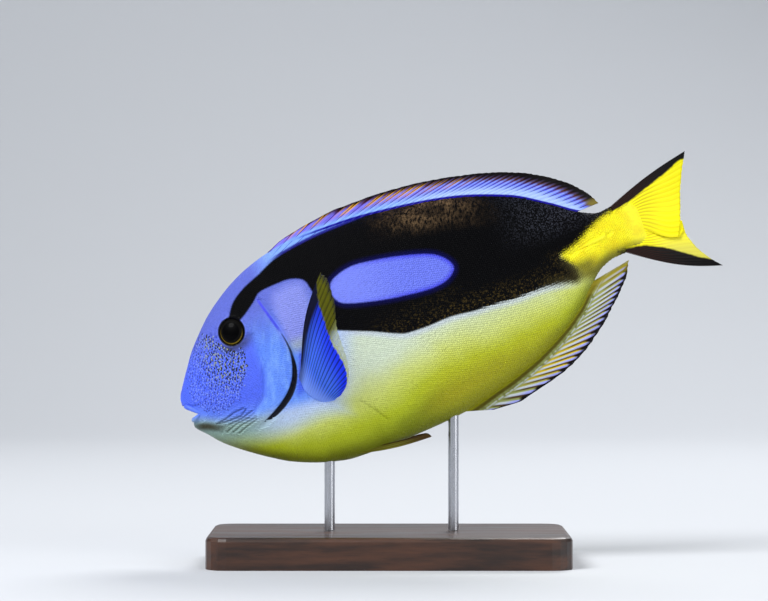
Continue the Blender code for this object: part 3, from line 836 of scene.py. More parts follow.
class Shader:
    """Builds a node material step by step from the values that its mesh carries."""

    def __init__(self, name: str, *marks: str) -> None:
        """Starts a material with a Principled shader.

        Args:
            name: What the real surface is.
            marks: Names of the mesh's values that it reads.
        """
        self.material = bpy.data.materials.new(name)
        self.material.use_nodes = True
        self.tree = self.material.node_tree
        self.surface = self.tree.nodes["Principled BSDF"]
        self.place = self.add("TexCoord", out=3)
        self.marks = {mark: self.add("Attribute", out=2, attribute_name=mark) for mark in marks}

    def add(self, kind: str, *given: object, out: int = 0, **settings: object) -> Socket:
        """Adds a node with its settings and links.

        Args:
            kind: The node's type, without its prefix.
            given: Sockets and values for its inputs in their order, None to leave one as it
                is. Inputs that the settings switch off aren't counted.
            out: Which output is wanted.
            settings: The node's properties.

        Returns:
            The output.
        """
        node = self.tree.nodes.new("ShaderNode" + kind)
        for key, value in settings.items():
            setattr(node, key, value)
        for socket, value in zip([s for s in node.inputs if s.enabled], given):
            self.feed(socket, value)
        return node.outputs[out] if out else next(s for s in node.outputs if s.enabled)

    def feed(self, socket: Socket, value: object) -> None:
        """Links a socket to the input, or sets the input's value.

        Args:
            socket: The input.
            value: A socket, a plain value, or None for no change.
        """
        if isinstance(value, Socket):
            self.tree.links.new(value, socket)
        elif value is not None:
            socket.default_value = value

    def share(self, *steps: object) -> object:
        """The product of several shares.

        Args:
            steps: Each a number, a socket or the name of a mark; or a smooth step of one, as
                (mark or socket, low, high), with what it gives at both ends if not 0 and 1.

        Returns:
            The product's socket, or the number where there is only that.
        """
        made = []
        for step in steps:
            value, *ends = step if isinstance(step, tuple) else (step,)
            value = self.marks[value] if isinstance(value, str) else value
            if ends:
                value = self.add("MapRange", value, *ends, interpolation_type="SMOOTHSTEP")
            made.append(value)
        return reduce(lambda a, b: self.add("Math", a, b, operation="MULTIPLY"), made)

    def lay(self, base: object, *layers: tuple) -> Socket:
        """Colours laid over a base, one after another.

        Args:
            base: The lowest colour.
            layers: Each a colour and the steps whose product is how far it covers.

        Returns:
            The last mix.
        """
        for tint, *steps in layers:
            base = self.add("Mix", self.share(*steps), base, tint, data_type="RGBA")
        return base

    def shifted(self, value: object, *steps: object) -> Socket:
        """A value moved up or down by each of the steps.

        Args:
            value: A mark's name or a socket.
            steps: Each as share takes them.

        Returns:
            The sum's socket.
        """
        for step in (value, *steps):
            step = self.share(step)
            value = step if value is step or isinstance(value, str) else self.add(
                "Math", value, step, operation="ADD")
        return value

    def crest(self, mark: str) -> Socket:
        """The height of evenly ruled waves.

        Args:
            mark: The value that counts the waves.

        Returns:
            1 on each whole number, 0 halfway between two.
        """
        part = self.add("Math", self.marks[mark], operation="FRACT")
        turned = self.add("Math", part, -2.0, 1.0, operation="MULTIPLY_ADD")
        return self.add("Math", turned, operation="ABSOLUTE")

    def grain(self, size_mm: float, detail: float = 2.0, rough: float = 0.5,
              stretch: tuple[float, float, float] = (1.0, 1.0, 1.0)) -> Socket:
        """A pattern of soft spots in the object's own space.

        Args:
            size_mm: Size of the largest spots, in millimetres.
            detail: How many finer sizes there are.
            rough: How strong these are.
            stretch: Share of the scale along each axis.

        Returns:
            Values round 0.5.
        """
        place = self.add("Mapping", self.place, None, None, stretch)
        return self.add("TexNoise", place, 1.0 / (size_mm * MM), detail, rough)

    def waver(self, size_mm: float, amount: float, detail: float = 2.0) -> Socket:
        """A pattern of both signs, to waver an edge.

        Args:
            size_mm: Size of its largest spots, in millimetres.
            amount: How far its values spread.
            detail: How many finer sizes there are.

        Returns:
            Values round 0.
        """
        spots = self.grain(size_mm, detail)
        return self.add("Math", spots, amount, -0.5 * amount, operation="MULTIPLY_ADD")

    def finish(self, **inputs: object) -> bpy.types.Material:
        """Sets the Principled shader's inputs.

        Args:
            inputs: Sockets or values by the input's name, with _ for a space.

        Returns:
            The material.
        """
        for key, value in inputs.items():
            self.feed(self.surface.inputs[key.replace("_", " ")], value)
        return self.material


class Cover(Enum):
    """What a material of the body's pattern is laid on."""

    SKIN = "skin"
    SCALES = "scales"


@dataclass(frozen=True)
class FishFinish:
    """Wet fish skin in the tang's colours, for the skin and its scales alike."""

    forehead: Colour = colour("5c6acc")
    cheek: Colour = colour("4c68f0")
    cover: Colour = colour("5a88f4")
    cover_light: Colour = colour("7dabfa")
    lilac: Colour = colour("848ee2")
    cream: Colour = colour("a3b4ac")
    seam: Colour = colour("3f3fe0")
    shade_blue: Colour = colour("3c5cea")
    sky: Colour = colour("7fa9fb")
    black: Colour = colour("040406")
    brown: Colour = colour("7a6246")
    umber: Colour = colour("4a3d1c")
    oval: Colour = colour("6473e8")
    oval_light: Colour = colour("7c8bf4")
    oval_rim: Colour = colour("3a3ce2")
    haze: Colour = colour("0c0c60")
    rim: Colour = colour("c0cadc")
    white: Colour = colour("b8ccec")
    mint: Colour = colour("98b8b2")
    pale: Colour = colour("cfdcc4")
    lime: Colour = colour("ccd66c")
    gold: Colour = colour("b6c31c")
    olive: Colour = colour("828e06")
    amber: Colour = colour("b4ac10")
    keel_shade_olive: Colour = colour("64660a")
    stalk_shade_olive: Colour = colour("6e6a18")
    under_eye_shadow: Colour = colour("2c2a18")
    dust: Colour = colour("3c3e48")
    soot: Colour = colour("3a351c")
    lip_streak_shadow: Colour = colour("362c00")
    fold_shade_olive: Colour = colour("3c4410")
    tail: Colour = colour("fff51a")
    tail_deep: Colour = colour("f0d400")
    navy: Colour = colour("04061a")
    blue_line: Colour = colour("0a0c86")
    socket: Colour = colour("0a0a12")
    shaded_lining: Colour = colour("1c0f16")

    def belly_colour(self, k: Shader) -> Socket:
        """Pale below the black, lime and gold on the flank and olive along the keel, darkened
        there by painted shade.

        Args:
            k: The material in the making.

        Returns:
            The colour.
        """
        drift = k.waver(15.0, 8.0)
        low = k.shifted("low", drift)
        keel = k.shifted("keel", k.share(drift, 0.3))
        # Painted shade: near the keel the amber holds back, most of all ahead of run 112, so the
        # shade olive shows.
        shade = k.share(("run", 90.0, 112.0, 0.1, 0.55))
        return k.lay(
            self.olive,
            (self.gold, (low, -13.0, -4.0)),
            (self.lime, (low, -5.0, 4.0)),
            (self.pale, (low, 1.0, 16.0)),
            # Painted shade: deep olive darkening the belly towards its keel, where it turns under.
            (self.keel_shade_olive, (keel, 0.0, 6.0, 0.65, 0.0)),
            (self.amber, ("run", 76.0, 100.0), ("run", 138.0, 156.0, 1.0, 0.0),
             (low, -16.0, 6.0, 0.7, 0.0), (keel, 0.5, 8.5, shade, 1.0)),
            (self.rim, ("black", -3.0, -0.4), ("run", 146.0, 162.0, 1.0, 0.0), 0.7))

    def head_colour(self, k: Shader) -> Socket:
        """Violet forehead, blue cheek, azure gill cover and the lilac patch behind them.

        Args:
            k: The material in the making.

        Returns:
            The colour.
        """
        streaks = k.grain(2.6, 3.0, 0.6, (1.0, 1.0, 0.35))
        cover = k.lay(self.cover, (self.cover_light, (streaks, 0.42, 0.72, 0.0, 0.7)))
        slant = k.shifted("run", k.share("rise", -0.42))
        pale = k.lay(self.lilac, (self.cream, ("rise", 5.0, 10.5, 0.75, 0.0)))
        return k.lay(
            cover,
            (self.cheek, ("cheek", 0.0, 1.0)),
            (self.cover_light, ("blue", 0.0, 7.0, 0.32, 0.0)),
            (self.forehead, ("rise", 6.0, 26.0)),
            (self.sky, ("run", 40.0, 54.0), ("rise", 30.0, 34.0)),
            (self.shade_blue, (slant, 46.5, 48.5, 0.0, 0.8), ("rise", 1.0, 6.0, 1.0, 0.0),
             ("rise", -13.5, -10.0)),
            (pale, "lilac"),
            (self.seam, ("seam", 0.2, 0.8, 1.0, 0.0), ("rise", 12.0, 15.0),
             ("rise", 25.5, 28.5, 1.0, 0.0), 0.8),
            (self.blue_line, (k.crest("comb"), 0.04, 0.2, 0.75, 0.0), ("run", 49.0, 55.0),
             ("rise", 34.0, 36.0)))

    def black_colour(self, k: Shader) -> Socket:
        """Black, streaked with brown below the fin and specked along its lower edge.

        Args:
            k: The material in the making.

        Returns:
            The colour.
        """
        return k.lay(
            self.black,
            (self.brown, "mottled", (k.grain(6.0), 0.34, 0.66, 0.25, 1.0),
             (k.grain(0.8, 3.0, 0.6, (1.0, 1.0, 0.3)), 0.34, 0.7)),
            (self.umber, "stippled", (k.grain(0.9, 3.0, 0.7), 0.5, 0.66)),
            (self.soot, ("black", 0.5, 5.0, 0.9, 0.0), ("run", 140.0, 154.0),
             ("rise", -2.0, 3.0, 1.0, 0.0)),
            (self.dust, ("run", 130.0, 156.0), ("rise", 8.0, 18.0),
             (k.grain(0.6), 0.48, 0.62, 0.0, 0.8)),
            (self.haze, ("oval", -2.6, -0.2, 0.0, 0.5)))

    def body_colour(self, k: Shader) -> tuple[Socket, Socket]:
        """The whole pattern's colour, and how far it is black.

        Args:
            k: The material in the making.

        Returns:
            The colour, and 1 where it's black.
        """
        belly = self.belly_colour(k)
        white = k.lay(self.mint, (self.white, ("run", 18.0, 38.0)))
        band = k.shifted("blue", ("run", 28.0, 56.0, 1.4, -2.6))
        throat = k.lay(belly, (white, (band, -13.0, -3.6)))
        tail = k.lay(
            self.tail,
            (self.tail_deep, (k.grain(5.0), 0.35, 0.75, 0.0, 0.6)),
            # Painted shade under the tail: olives darkening it towards the keel.
            (self.keel_shade_olive, ("keel", 0.3, 4.5, 0.85, 0.0)),
            (self.stalk_shade_olive, ("keel", 0.5, 6.5, 0.8, 0.0), ("run", 168.0, 180.0, 1.0, 0.4)))
        oval = k.lay(self.oval_rim, (self.oval, ("oval", 0.0, 2.2)),
                     (self.oval_light, ("run", 70.0, 100.0, 0.8, 0.15)))
        frayed = k.share(k.waver(0.35, 1.0, 1.0), ("run", 120.0, 156.0, 0.5, 3.4))
        edge = k.add("Math", k.shifted("black", frayed),
                     k.share(("run", 136.0, 156.0, 1.0, 3.2)), operation="DIVIDE")
        dark = k.share((edge, -0.45, 0.45))
        # Painted shade for the throat folds' grooves: dark olive, and navy within the blue.
        fold = k.lay(self.fold_shade_olive, (self.navy, ("blue", -4.0, -1.0)))
        skin = k.lay(
            belly,
            (throat, ("rise", -36.0, -22.0)),
            (self.head_colour(k), ("blue", -3.8, 1.8)),
            (tail, "tail"),
            # Painted shade: olive over the lower tail stalk, ahead of the yellow.
            (self.stalk_shade_olive, ("run", 153.5, 158.0), ("run", 163.0, 170.0, 1.0, 0.0),
             ("rise", -10.5, -6.5), ("rise", -3.4, 1.4, 0.9, 0.0)),
            (oval, ("oval", -2.2, -1.4)),
            (self.blue_line, (edge, -1.5, -0.5), ("rise", 29.0, 33.0), ("run", 46.0, 56.0)),
            (self.black_colour(k), dark),
            # A dark olive-brown streak along the jaw below the lower lip, deepened into painted
            # shadow under the lip.
            (self.lip_streak_shadow, ("run", 1.0, 5.0, 0.55, 1.0), ("run", 7.0, 17.0, 1.0, 0.0),
             ("blue", -6.7, -4.2), ("blue", -3.6, -1.3, 1.0, 0.0), 0.92),
            (fold, "fold", 0.62),
            (self.navy, ("gill", -0.15, 0.35)),
            # Painted shadow: dark olive on the cheek below the eye's bulge.
            (self.under_eye_shadow, ("socket", 1.08, 1.9, 0.75, 0.0), ("rise", 13.0, 18.0, 1.0, 0.0)),
            (self.socket, ("socket", 0.99, 1.07, 1.0, 0.0)),
            (self.black, (k.grain(0.9), 0.3, 0.8), 0.13))
        return skin, dark

    def make(self, cover: Cover, *marks: str) -> bpy.types.Material:
        """The material for one kind of cover.

        Args:
            cover: Skin or scales.
            marks: Names of the values the mesh carries.

        Returns:
            The material.
        """
        # Wet skin under a film of mucus: soft wide glints on the colours, nearly none on the
        # black. Its real grain is finer than a pixel, so it's drawn at 0.5 mm to show.
        k = Shader("wet_fish_" + cover.value, *marks)
        tint, dark = self.body_colour(k)
        grain = k.grain(0.5)
        depth = 0.06 if cover is Cover.SKIN else 0.03
        return k.finish(Base_Color=tint, Roughness=k.share((grain, 0.3, 0.7, 0.42, 0.56)),
                        Normal=k.add("Bump", 0.5, depth * MM, None, grain), IOR=1.38,
                        Specular_IOR_Level=k.share((dark, 0.0, 1.0, 0.4, 0.08)),
                        Coat_Weight=k.share((dark, 0.0, 1.0, 0.06, 0.0)), Coat_Roughness=0.25)

    def mouth(self) -> bpy.types.Material:
        """The wet lining inside the lips, its dark red deepened as painted shade of the hollow."""
        # Smooth and moist, with a dull gleam; its near-black tone is painted shade, so the gap
        # between the lips reads as a hollow.
        return Shader("mouth_lining_and_shade").finish(Base_Color=self.shaded_lining, Roughness=0.4)


@dataclass(frozen=True)
class Skin:
    """One seamless skin from the lips to the root of the tail fin."""

    form: BodyForm
    marks: Markings
    around: int = 256
    inset: float = 0.12
    end: float = 189.0

    def rows(self) -> tuple[Array, Array]:
        """Stations of the skin's rings, and each ring's share of its full size.

        Returns:
            Stations, and shares from 0 at a closed end to 1.
        """
        nose = np.sin(np.linspace(0.0, 0.5 * math.pi, 12)[:-1])
        runs = [np.linspace(0.12, 12.0, 48), np.linspace(12.0, 50.0, 128)[1:],
                np.linspace(50.0, self.end, 174)[1:]]
        body = np.concatenate(runs)
        close = np.linspace(1.0, 0.0, 5)[1:]
        s = np.concatenate([np.full(len(nose), body[0]), body, np.full(len(close), self.end)])
        return s, np.concatenate([nose, np.ones(len(body)), close])

    def angle(self, t: Array) -> Array:
        """Angle round a ring for share t of the way, spaced evenly along a tall ellipse."""
        turn = 2 * math.pi * t - 0.5 * math.pi
        return turn - 0.225 * np.sin(2 * turn)

    def spots(self, s: Array, share: Array, t: Array) -> Array:
        """Plain positions of the skin, without its fine forms.

        Args:
            s: Stations in mm.
            share: Each ring's share of its full size.
            t: Share of the way round the ring.

        Returns:
            Rows of x, y and z, in metres.
        """
        top, bottom, level, width, up_round, down_round = self.form.shape(s)
        angle = self.angle(t)
        across, up = np.cos(angle), np.sin(angle)
        n = np.where(up >= 0, up_round, down_round)
        reach = np.where(up >= 0, top - level, level - bottom) - self.inset
        h = level + np.sign(up) * np.abs(up) ** (2 / n) * reach * share
        wide = np.sign(across) * np.abs(across) ** (2 / n) * (width - self.inset) * share
        flank = np.minimum(1.0, np.abs(wide) / 4.0)
        wide = wide + np.sign(wide) * self.form.swell(s, h) * flank * share
        nose = 0.45 * np.sqrt(np.maximum(0.0, 1.0 - share ** 2)) * (s < 1.0)
        return self.form.at.place(s - nose, wide, h)

    def build(self) -> bpy.types.Object:
        """Builds the skin, cuts the mouth and lays on the pattern.

        Returns:
            The skin.
        """
        s_rows, share_rows = self.rows()
        count = len(s_rows) - 1
        work = bmesh.new()
        bmesh.ops.create_grid(work, x_segments=count, y_segments=self.around, size=1.0)
        mesh = mesh_of("skin", work)
        flat = read_spots(mesh)
        row = np.rint((flat[:, 0] + 1) / 2 * count).astype(int)
        t = (flat[:, 1] + 1) / 2
        share = share_rows[row]
        plain = self.spots(s_rows[row], share, t)
        normal = self.normals(s_rows, share_rows, row, t)
        fish_s, fish_y, fish_h = self.form.at.read(plain)
        flank = ease(0.6, 2.2, np.abs(fish_y)) * share
        out = self.form.relief(fish_s, fish_h) * flank * MM
        mesh.vertices.foreach_set("co", (plain + normal * out[:, None]).ravel())
        turn_out(mesh, weld=True)
        skin = add_piece("skin", mesh, ("head", "torso", "tail_peduncle"))
        self.cut_mouth(skin)
        s, _, h = self.form.at.read(read_spots(skin.data))
        values = marks_of(self.form, self.marks, s, h)
        carry(skin.data, values)
        skin.data.materials.clear()
        skin.data.materials.append(FishFinish().make(Cover.SKIN, *values))
        skin.data.materials.append(FishFinish().mouth())
        middles = np.array([p.center for p in skin.data.polygons])
        s, y, h = self.form.at.read(middles)
        inside = (distance_to(self.form.mouth_cut, s, h) < 0.15) & (s < 6.0)
        inside &= np.abs(y) < self.form.side(s, h) - 0.3
        skin.data.polygons.foreach_set("material_index", inside.astype(np.int32))
        return skin

    def normals(self, s_rows: Array, share_rows: Array, row: Array, t: Array) -> Array:
        """Outward directions of the plain skin at each vertex.

        Args:
            s_rows: The rings' stations.
            share_rows: The rings' shares.
            row: Each vertex's ring.
            t: Its share of the way round.

        Returns:
            Directions of length 1.
        """
        ahead = np.minimum(row + 1, len(s_rows) - 1)
        back = np.maximum(row - 1, 0)
        step = 0.5 / self.around
        along_s = (self.spots(s_rows[ahead], share_rows[ahead], t)
                   - self.spots(s_rows[back], share_rows[back], t))
        along_t = (self.spots(s_rows[row], share_rows[row], t + step)
                   - self.spots(s_rows[row], share_rows[row], t - step))
        out = unit(np.cross(along_t, along_s))
        plain = self.spots(s_rows[row], share_rows[row], t)
        _, y, _ = self.form.at.read(plain)
        out[out[:, 1] * y < 0] *= -1
        return out

    def cut_mouth(self, skin: bpy.types.Object) -> None:
        """Cuts the slightly open mouth, a wedge that narrows to its corners.

        Args:
            skin: The skin.
        """
        work = bmesh.new()
        points = [self.form.at.place(s, -20.0, h) for s, h in self.form.mouth_cut]
        face = work.faces.new([work.verts.new(p) for p in points])
        made = bmesh.ops.extrude_face_region(work, geom=[face])
        far = [v for v in made["geom"] if isinstance(v, bmesh.types.BMVert)]
        bmesh.ops.translate(work, verts=far, vec=Vector((0.0, 0.04, 0.0)))
        mesh = mesh_of("mouth_cut", work)
        cutter = link("mouth_cut", mesh)
        cut = skin.modifiers.new("mouth", "BOOLEAN")
        cut.operation = "DIFFERENCE"
        cut.object = cutter
        cut.solver = "MANIFOLD"
        bpy.context.view_layer.update()
        graph = bpy.context.evaluated_depsgraph_get()
        made_mesh = bpy.data.meshes.new_from_object(skin.evaluated_get(graph))
        skin.modifiers.clear()
        skin.data = made_mesh
        made_mesh.set_sharp_from_angle(angle=math.radians(48.0))
        bpy.data.objects.remove(cutter)


@dataclass(frozen=True)
class Lips:
    """The two lips: tapered rolls of skin round the jaws' edges, from corner to corner."""

    form: BodyForm
    marks: Markings
    upper: tuple[float, float, float] = (-1.65, 1.28, 1.1)
    lower: tuple[float, float, float] = (-7.6, 2.25, 1.0)
    corner: tuple[float, float] = (5.7, -6)
    taper: float = 0.45
    sink: float = 0.35
    path: tuple[tuple[float, float], ...] = ((0, 0), (0.02, 0.62), (0.12, 0.95), (0.5, 1),
                                             (1, 1))
    steps: int = 96
    sides: int = 20

    def line(self, size: tuple[float, float, float], turn: Array) -> Array:
        """Positions of the roll's middle for turn -1 to 1, from corner to corner.

        Args:
            size: Level, front and radius.
            turn: Share to either corner.

        Returns:
            Rows of x, y and z, in metres.
        """
        level, front, _ = size
        onward, aside = along(self.path, np.abs(turn))
        s = front + (self.corner[0] - front) * onward
        h = level + (self.corner[1] - level) * onward
        y = np.sign(turn) * (self.form.side(s, h) - self.sink) * aside
        return self.form.at.place(s, y, h)

    def build(self, material: bpy.types.Material) -> None:
        """Builds both lips in the skin's own finish.

        Args:
            material: The skin's finish.
        """
        for word, size in (("upper", self.upper), ("lower", self.lower)):
            work = bmesh.new()
            bmesh.ops.create_grid(work, x_segments=self.steps, y_segments=self.sides, size=1.0)
            mesh = mesh_of("lip_" + word, work)
            flat = read_spots(mesh)
            turn, angle = flat[:, 0], flat[:, 1] * math.pi
            middle = self.line(size, turn)
            step = 0.01
            onward = unit(self.line(size, np.minimum(1.0, turn + step))
                          - self.line(size, np.maximum(-1.0, turn - step)))
            up = np.array([-math.sin(self.form.at.head_down), 0.0,
                           math.cos(self.form.at.head_down)])
            out = unit(np.cross(onward, up[None]))
            up = np.cross(out, onward)
            share = along(self.path, np.abs(turn))[0]
            beyond = np.maximum(0.0, np.abs(turn) - 0.9) / 0.1
            cap = np.sqrt(np.maximum(0.0, 1.0 - beyond ** 2))
            radius = (size[2] * (1.0 + (self.taper - 1.0) * share) * cap)[:, None] * MM
            crease = 1.0 + 0.02 * np.sin(turn * 60.0)[:, None]
            spots = middle + radius * crease * (np.cos(angle)[:, None] * out
                                                + np.sin(angle)[:, None] * up)
            mesh.vertices.foreach_set("co", spots.ravel())
            turn_out(mesh, weld=True)
            s, _, h = self.form.at.read(read_spots(mesh))
            carry(mesh, marks_of(self.form, self.marks, s, h))
            add_piece("lip_" + word, mesh)
            mesh.materials.append(material)


@dataclass(frozen=True)
class Scales:
    """Small overlapping scales over the body, each a domed plate sunk into the skin."""

    form: BodyForm
    marks: Markings
    # The photo's are about a pixel wide, too fine to show, so they're drawn larger.
    pitch: float = 0.86
    head_pitch: float = 0.6
    length: float = 1.45
    width: float = 1.2
    lift: float = 0.12
    start: float = 2.2
    end: float = 188.0
    skirt: float = -1.6
    whole_from: float = 118.0
    most_triangles: int = 190000
    seed: int = 7

    def template(self) -> tuple[Array, Array]:
        """One scale, a unit long and wide, with its root at 0.

        Returns:
            Its positions and triangles.
        """
        work = bmesh.new()
        bmesh.ops.create_circle(work, cap_ends=True, segments=7, radius=0.5)
        bmesh.ops.poke(work, faces=work.faces)
        rim = [e for e in work.edges if e.is_boundary]
        made = bmesh.ops.extrude_edge_only(work, edges=rim)
        lower = {v for v in made["geom"] if isinstance(v, bmesh.types.BMVert)}
        for vert in work.verts:
            x, y = vert.co.x, vert.co.y
            free = min(1.0, max(0.0, x + 0.5))
            dome = free ** 0.8 if abs(x) + abs(y) > 0.01 else 0.95
            vert.co.z = self.skirt if vert in lower else dome
        return arrays_of(work)

    def spacing(self, s: Array) -> Array:
        """Distance between neighbouring scales at s: small on the head, larger behind it."""
        return self.head_pitch + (self.pitch - self.head_pitch) * ease(26.0, 60.0, s)

    def roots(self) -> Places:
        """Stations, ring shares and sides of the scales' roots, in staggered rows.

        Returns:
            Stations, ring shares and a chance value for each scale.
        """
        rng = np.random.default_rng(self.seed)
        rows = []
        skin = Skin(self.form, self.marks)
        fine = np.linspace(0.0, 1.0, 1201)
        station, stations = self.start, []
        while station < self.end:
            stations.append(station)
            station += 0.86 * float(self.spacing(station))
        for k, s in enumerate(stations):
            ring = skin.spots(np.full(fine.shape, s), np.ones(fine.shape), fine)
            steps = np.linalg.norm(np.diff(ring, axis=0), axis=1) / MM
            length = np.concatenate([[0.0], np.cumsum(steps)])
            count = max(8, int(length[-1] / float(self.spacing(s))))
            marks = (np.arange(count) + 0.5 * (k % 2)) / count * length[-1]
            t = np.interp(marks, length, fine)
            rows.append(np.stack([np.full(count, s), t], axis=1))
        roots = np.concatenate(rows)
        roots[:, 0] += rng.normal(0.0, 0.06, len(roots))
        return roots[:, 0], roots[:, 1], rng.normal(0.0, 1.0, len(roots))

    def build(self) -> None:
        """Builds the scales in as many pieces as their triangles need."""
        skin = Skin(self.form, self.marks)
        s, t, chance = self.roots()
        ones = np.ones(len(s))
        here = skin.spots(s, ones, t)
        fish_s, fish_y, fish_h = self.form.at.read(here)
        keep = ~self.form.bare(fish_s, fish_h) & (fish_s < self.end)
        s, t, chance, ones, here = (a[keep] for a in (s, t, chance, ones, here))
        fish_s, fish_y, fish_h = (a[keep] for a in (fish_s, fish_y, fish_h))
        step = 0.25
        onward = unit(skin.spots(s + step, ones, t) - skin.spots(s - step, ones, t))
        around = skin.spots(s, ones, t + 2e-4) - skin.spots(s, ones, t - 2e-4)
        out = unit(np.cross(around, onward))
        out[out[:, 1] * fish_y < 0] *= -1
        across = np.cross(out, onward)
        small = self.spacing(fish_s) / self.pitch
        small *= 1.0 - 0.6 * ease(176.0, 188.0, fish_s)
        relief = self.form.relief(fish_s, fish_h) * ease(0.6, 2.2, np.abs(fish_y))
        base = here + out * ((relief - 0.02) * MM)[:, None]
        spots, tris = self.template()
        size = (small * (1.0 + 0.06 * chance))[:, None]
        x = spots[None, :, 0] * self.length * size
        y = spots[None, :, 1] * self.width * size
        flat = 1.0 - 0.9 * ease(178.0, 188.0, fish_s)[:, None]
        z = spots[None, :, 2] * self.lift * size * flat
        world = (base[:, None, :] + (x[..., None] * onward[:, None, :]
                                     + y[..., None] * across[:, None, :]
                                     + z[..., None] * out[:, None, :]) * MM)
        unwrap = np.stack([s / 200.0, t], axis=1)
        vertex_s, _, vertex_h = self.form.at.read(world.reshape(-1, 3))
        per = spots.shape[0]
        root_s, root_h = np.repeat(fish_s, per), np.repeat(fish_h, per)
        whole = root_s > self.whole_from
        values = marks_of(self.form, self.marks, np.where(whole, root_s, vertex_s),
                          np.where(whole, root_h, vertex_h))
        material = FishFinish().make(Cover.SCALES, *values)
        order = np.argsort(s, kind="stable")
        limit = self.most_triangles // len(tris)
        parts = np.array_split(order, math.ceil(len(order) / limit))
        for number, part in enumerate(parts):
            mesh = joined("scales", world[part], tris)
            carry(mesh, {name: rows.reshape(-1, per)[part].ravel()
                         for name, rows in values.items()})
            bake_map(mesh, unwrap[part], spots, tris)
            add_piece(f"scales_{number + 1}", mesh)
            mesh.materials.append(material)


@dataclass(frozen=True)
class Freckles:
    """The cheek's rough patch: dark pits in staggered rows with raised knobs between them."""

    form: BodyForm
    marks: Markings
    pitch: float = 1.12
    pit: float = 0.26
    knob: float = 0.24
    height: float = 0.2
    grid: tuple[int, int] = (41, 30)
    corner: tuple[float, float] = (2, -13)
    seed: int = 3
    navy: Colour = colour("2c3cae")
    soot: Colour = colour("1a1d24")
    blue: Colour = colour("6a84f8")
    dull_blue: Colour = colour("6c86e6")
    cream: Colour = colour("939a88")

    def template(self) -> tuple[Array, Array]:
        """A small dome, 1 in radius and 1 high, with a sunk skirt.

        Returns:
            Its positions and triangles.
        """
        work = bmesh.new()
        bmesh.ops.create_circle(work, cap_ends=True, segments=8, radius=1.0)
        bmesh.ops.inset_region(work, faces=work.faces[:], thickness=0.42)
        rim = [e for e in work.edges if e.is_boundary]
        made = bmesh.ops.extrude_edge_only(work, edges=rim)
        skirt = {v for v in made["geom"] if isinstance(v, bmesh.types.BMVert)}
        for vert in work.verts:
            reach = math.hypot(vert.co.x, vert.co.y)
            vert.co.z = -1.3 if vert in skirt else (1.0 if reach < 0.8 else 0.45)
        return arrays_of(work)

    def places(self) -> tuple[Array, Array, Array, Array]:
        """s and h of every pit and knob, 1 for the pits, and a chance value.

        Returns:
            The four as rows.
        """
        rng = np.random.default_rng(self.seed)
        row, column = (a.ravel() for a in np.meshgrid(*map(np.arange, self.grid)))
        s = self.corner[0] + self.pitch * (column + 0.5 * (row % 2))
        h = self.corner[1] + 0.87 * self.pitch * row
        shifts = ((0, 0), (0.5, 0.29), (0, 0.58))
        s = np.concatenate([s + self.pitch * a for a, _ in shifts])
        h = np.concatenate([h + self.pitch * b for _, b in shifts])
        pits = np.repeat([1.0, 0.0, 0.0], len(row))
        s += rng.normal(0.0, 0.2, len(s))
        h += rng.normal(0.0, 0.2, len(h))
        chance = rng.uniform(0.0, 1.0, len(s))
        keep = self.marks.speckled(s, h) > 0.15 + 0.75 * chance
        keep &= rng.uniform(0.0, 1.0, len(s)) < np.where(pits > 0.5, 0.92, 0.6)
        keep &= (self.form.eye_share(s, h) > 1.17) & (self.form.side(s, h) > 2.4)
        return s[keep], h[keep], pits[keep], rng.uniform(0.0, 1.0, keep.sum())

    def finish(self) -> bpy.types.Material:
        """Navy pits, near black by the eye; blue knobs, cream and olive by the eye.

        Returns:
            The material.
        """
        # Skin raised in knobs, 1.12 mm apart as on the photo's cheek: small separate glints.
        k = Shader("cheek_knobs", "near", "pit", "chance")
        pit = k.lay(self.navy, (self.soot, "near"))
        pale = k.lay(self.dull_blue, (self.cream, ("chance", 0.55, 0.85)))
        tint = k.lay(self.blue, (pale, "near"), (pit, "pit"))
        return k.finish(Base_Color=tint, Roughness=0.42, IOR=1.38)

    def build(self) -> None:
        """Builds both cheeks' pits and knobs as one piece."""
        s, h, pits, chance = self.places()
        spots, tris = self.template()
        step = 0.25
        y = self.form.surface(s, h)
        by_s = (self.form.surface(s + step, h) - self.form.surface(s - step, h)) / (2 * step)
        by_h = (self.form.surface(s, h + step) - self.form.surface(s, h - step)) / (2 * step)
        near = ease(-6.0, 6.0, h) * ease(8.0, 19.0, s)
        size = np.where(pits > 0.5, self.pit * (0.85 + 0.4 * near), self.knob)
        size = size * (0.8 + 0.4 * chance)
        rise = self.height * np.where(pits > 0.5, 0.85, 1.3)
        turn = 1.2 + 1.3 * (7.0 * chance % 1.0 - 0.5)
        longer = np.where(pits > 0.5, 1.8, 1.6)[:, None]
        along_x = (spots[None, :, 0] * longer * np.cos(turn)[:, None]
                   - spots[None, :, 1] * np.sin(turn)[:, None])
        along_y = (spots[None, :, 0] * longer * np.sin(turn)[:, None]
                   + spots[None, :, 1] * np.cos(turn)[:, None])
        worlds, uvs = [], []
        for side in (-1, 1):
            out = unit(np.stack([-by_s, np.full(len(s), float(side)), -by_h], axis=1))
            onward = unit(np.stack([np.ones(len(s)), side * by_s, np.zeros(len(s))], axis=1))
            across = np.cross(out, onward)
            base = np.stack([s, side * y, h], axis=1)
            reach = size[:, None]
            local = (base[:, None] + onward[:, None] * (along_x * reach)[..., None]
                     + across[:, None] * (along_y * reach)[..., None]
                     + out[:, None] * (spots[None, :, 2] * rise[:, None])[..., None])
            worlds.append(self.form.at.place(local[..., 0], local[..., 1], local[..., 2]))
            uvs.append(np.stack([s / 200.0, 0.25 * side % 1.0 + 0.002 * side * (h - 4.0)], axis=1))
        mesh = joined("cheek_knobs", np.concatenate(worlds), tris)
        per, both = len(spots), np.concatenate
        values = {"near": near, "pit": pits, "chance": chance}
        carry(mesh, {name: np.repeat(both([v, v]), per) for name, v in values.items()})
        bake_map(mesh, both(uvs), spots, tris)
        add_piece("cheek_knobs", mesh)
        mesh.materials.append(self.finish())


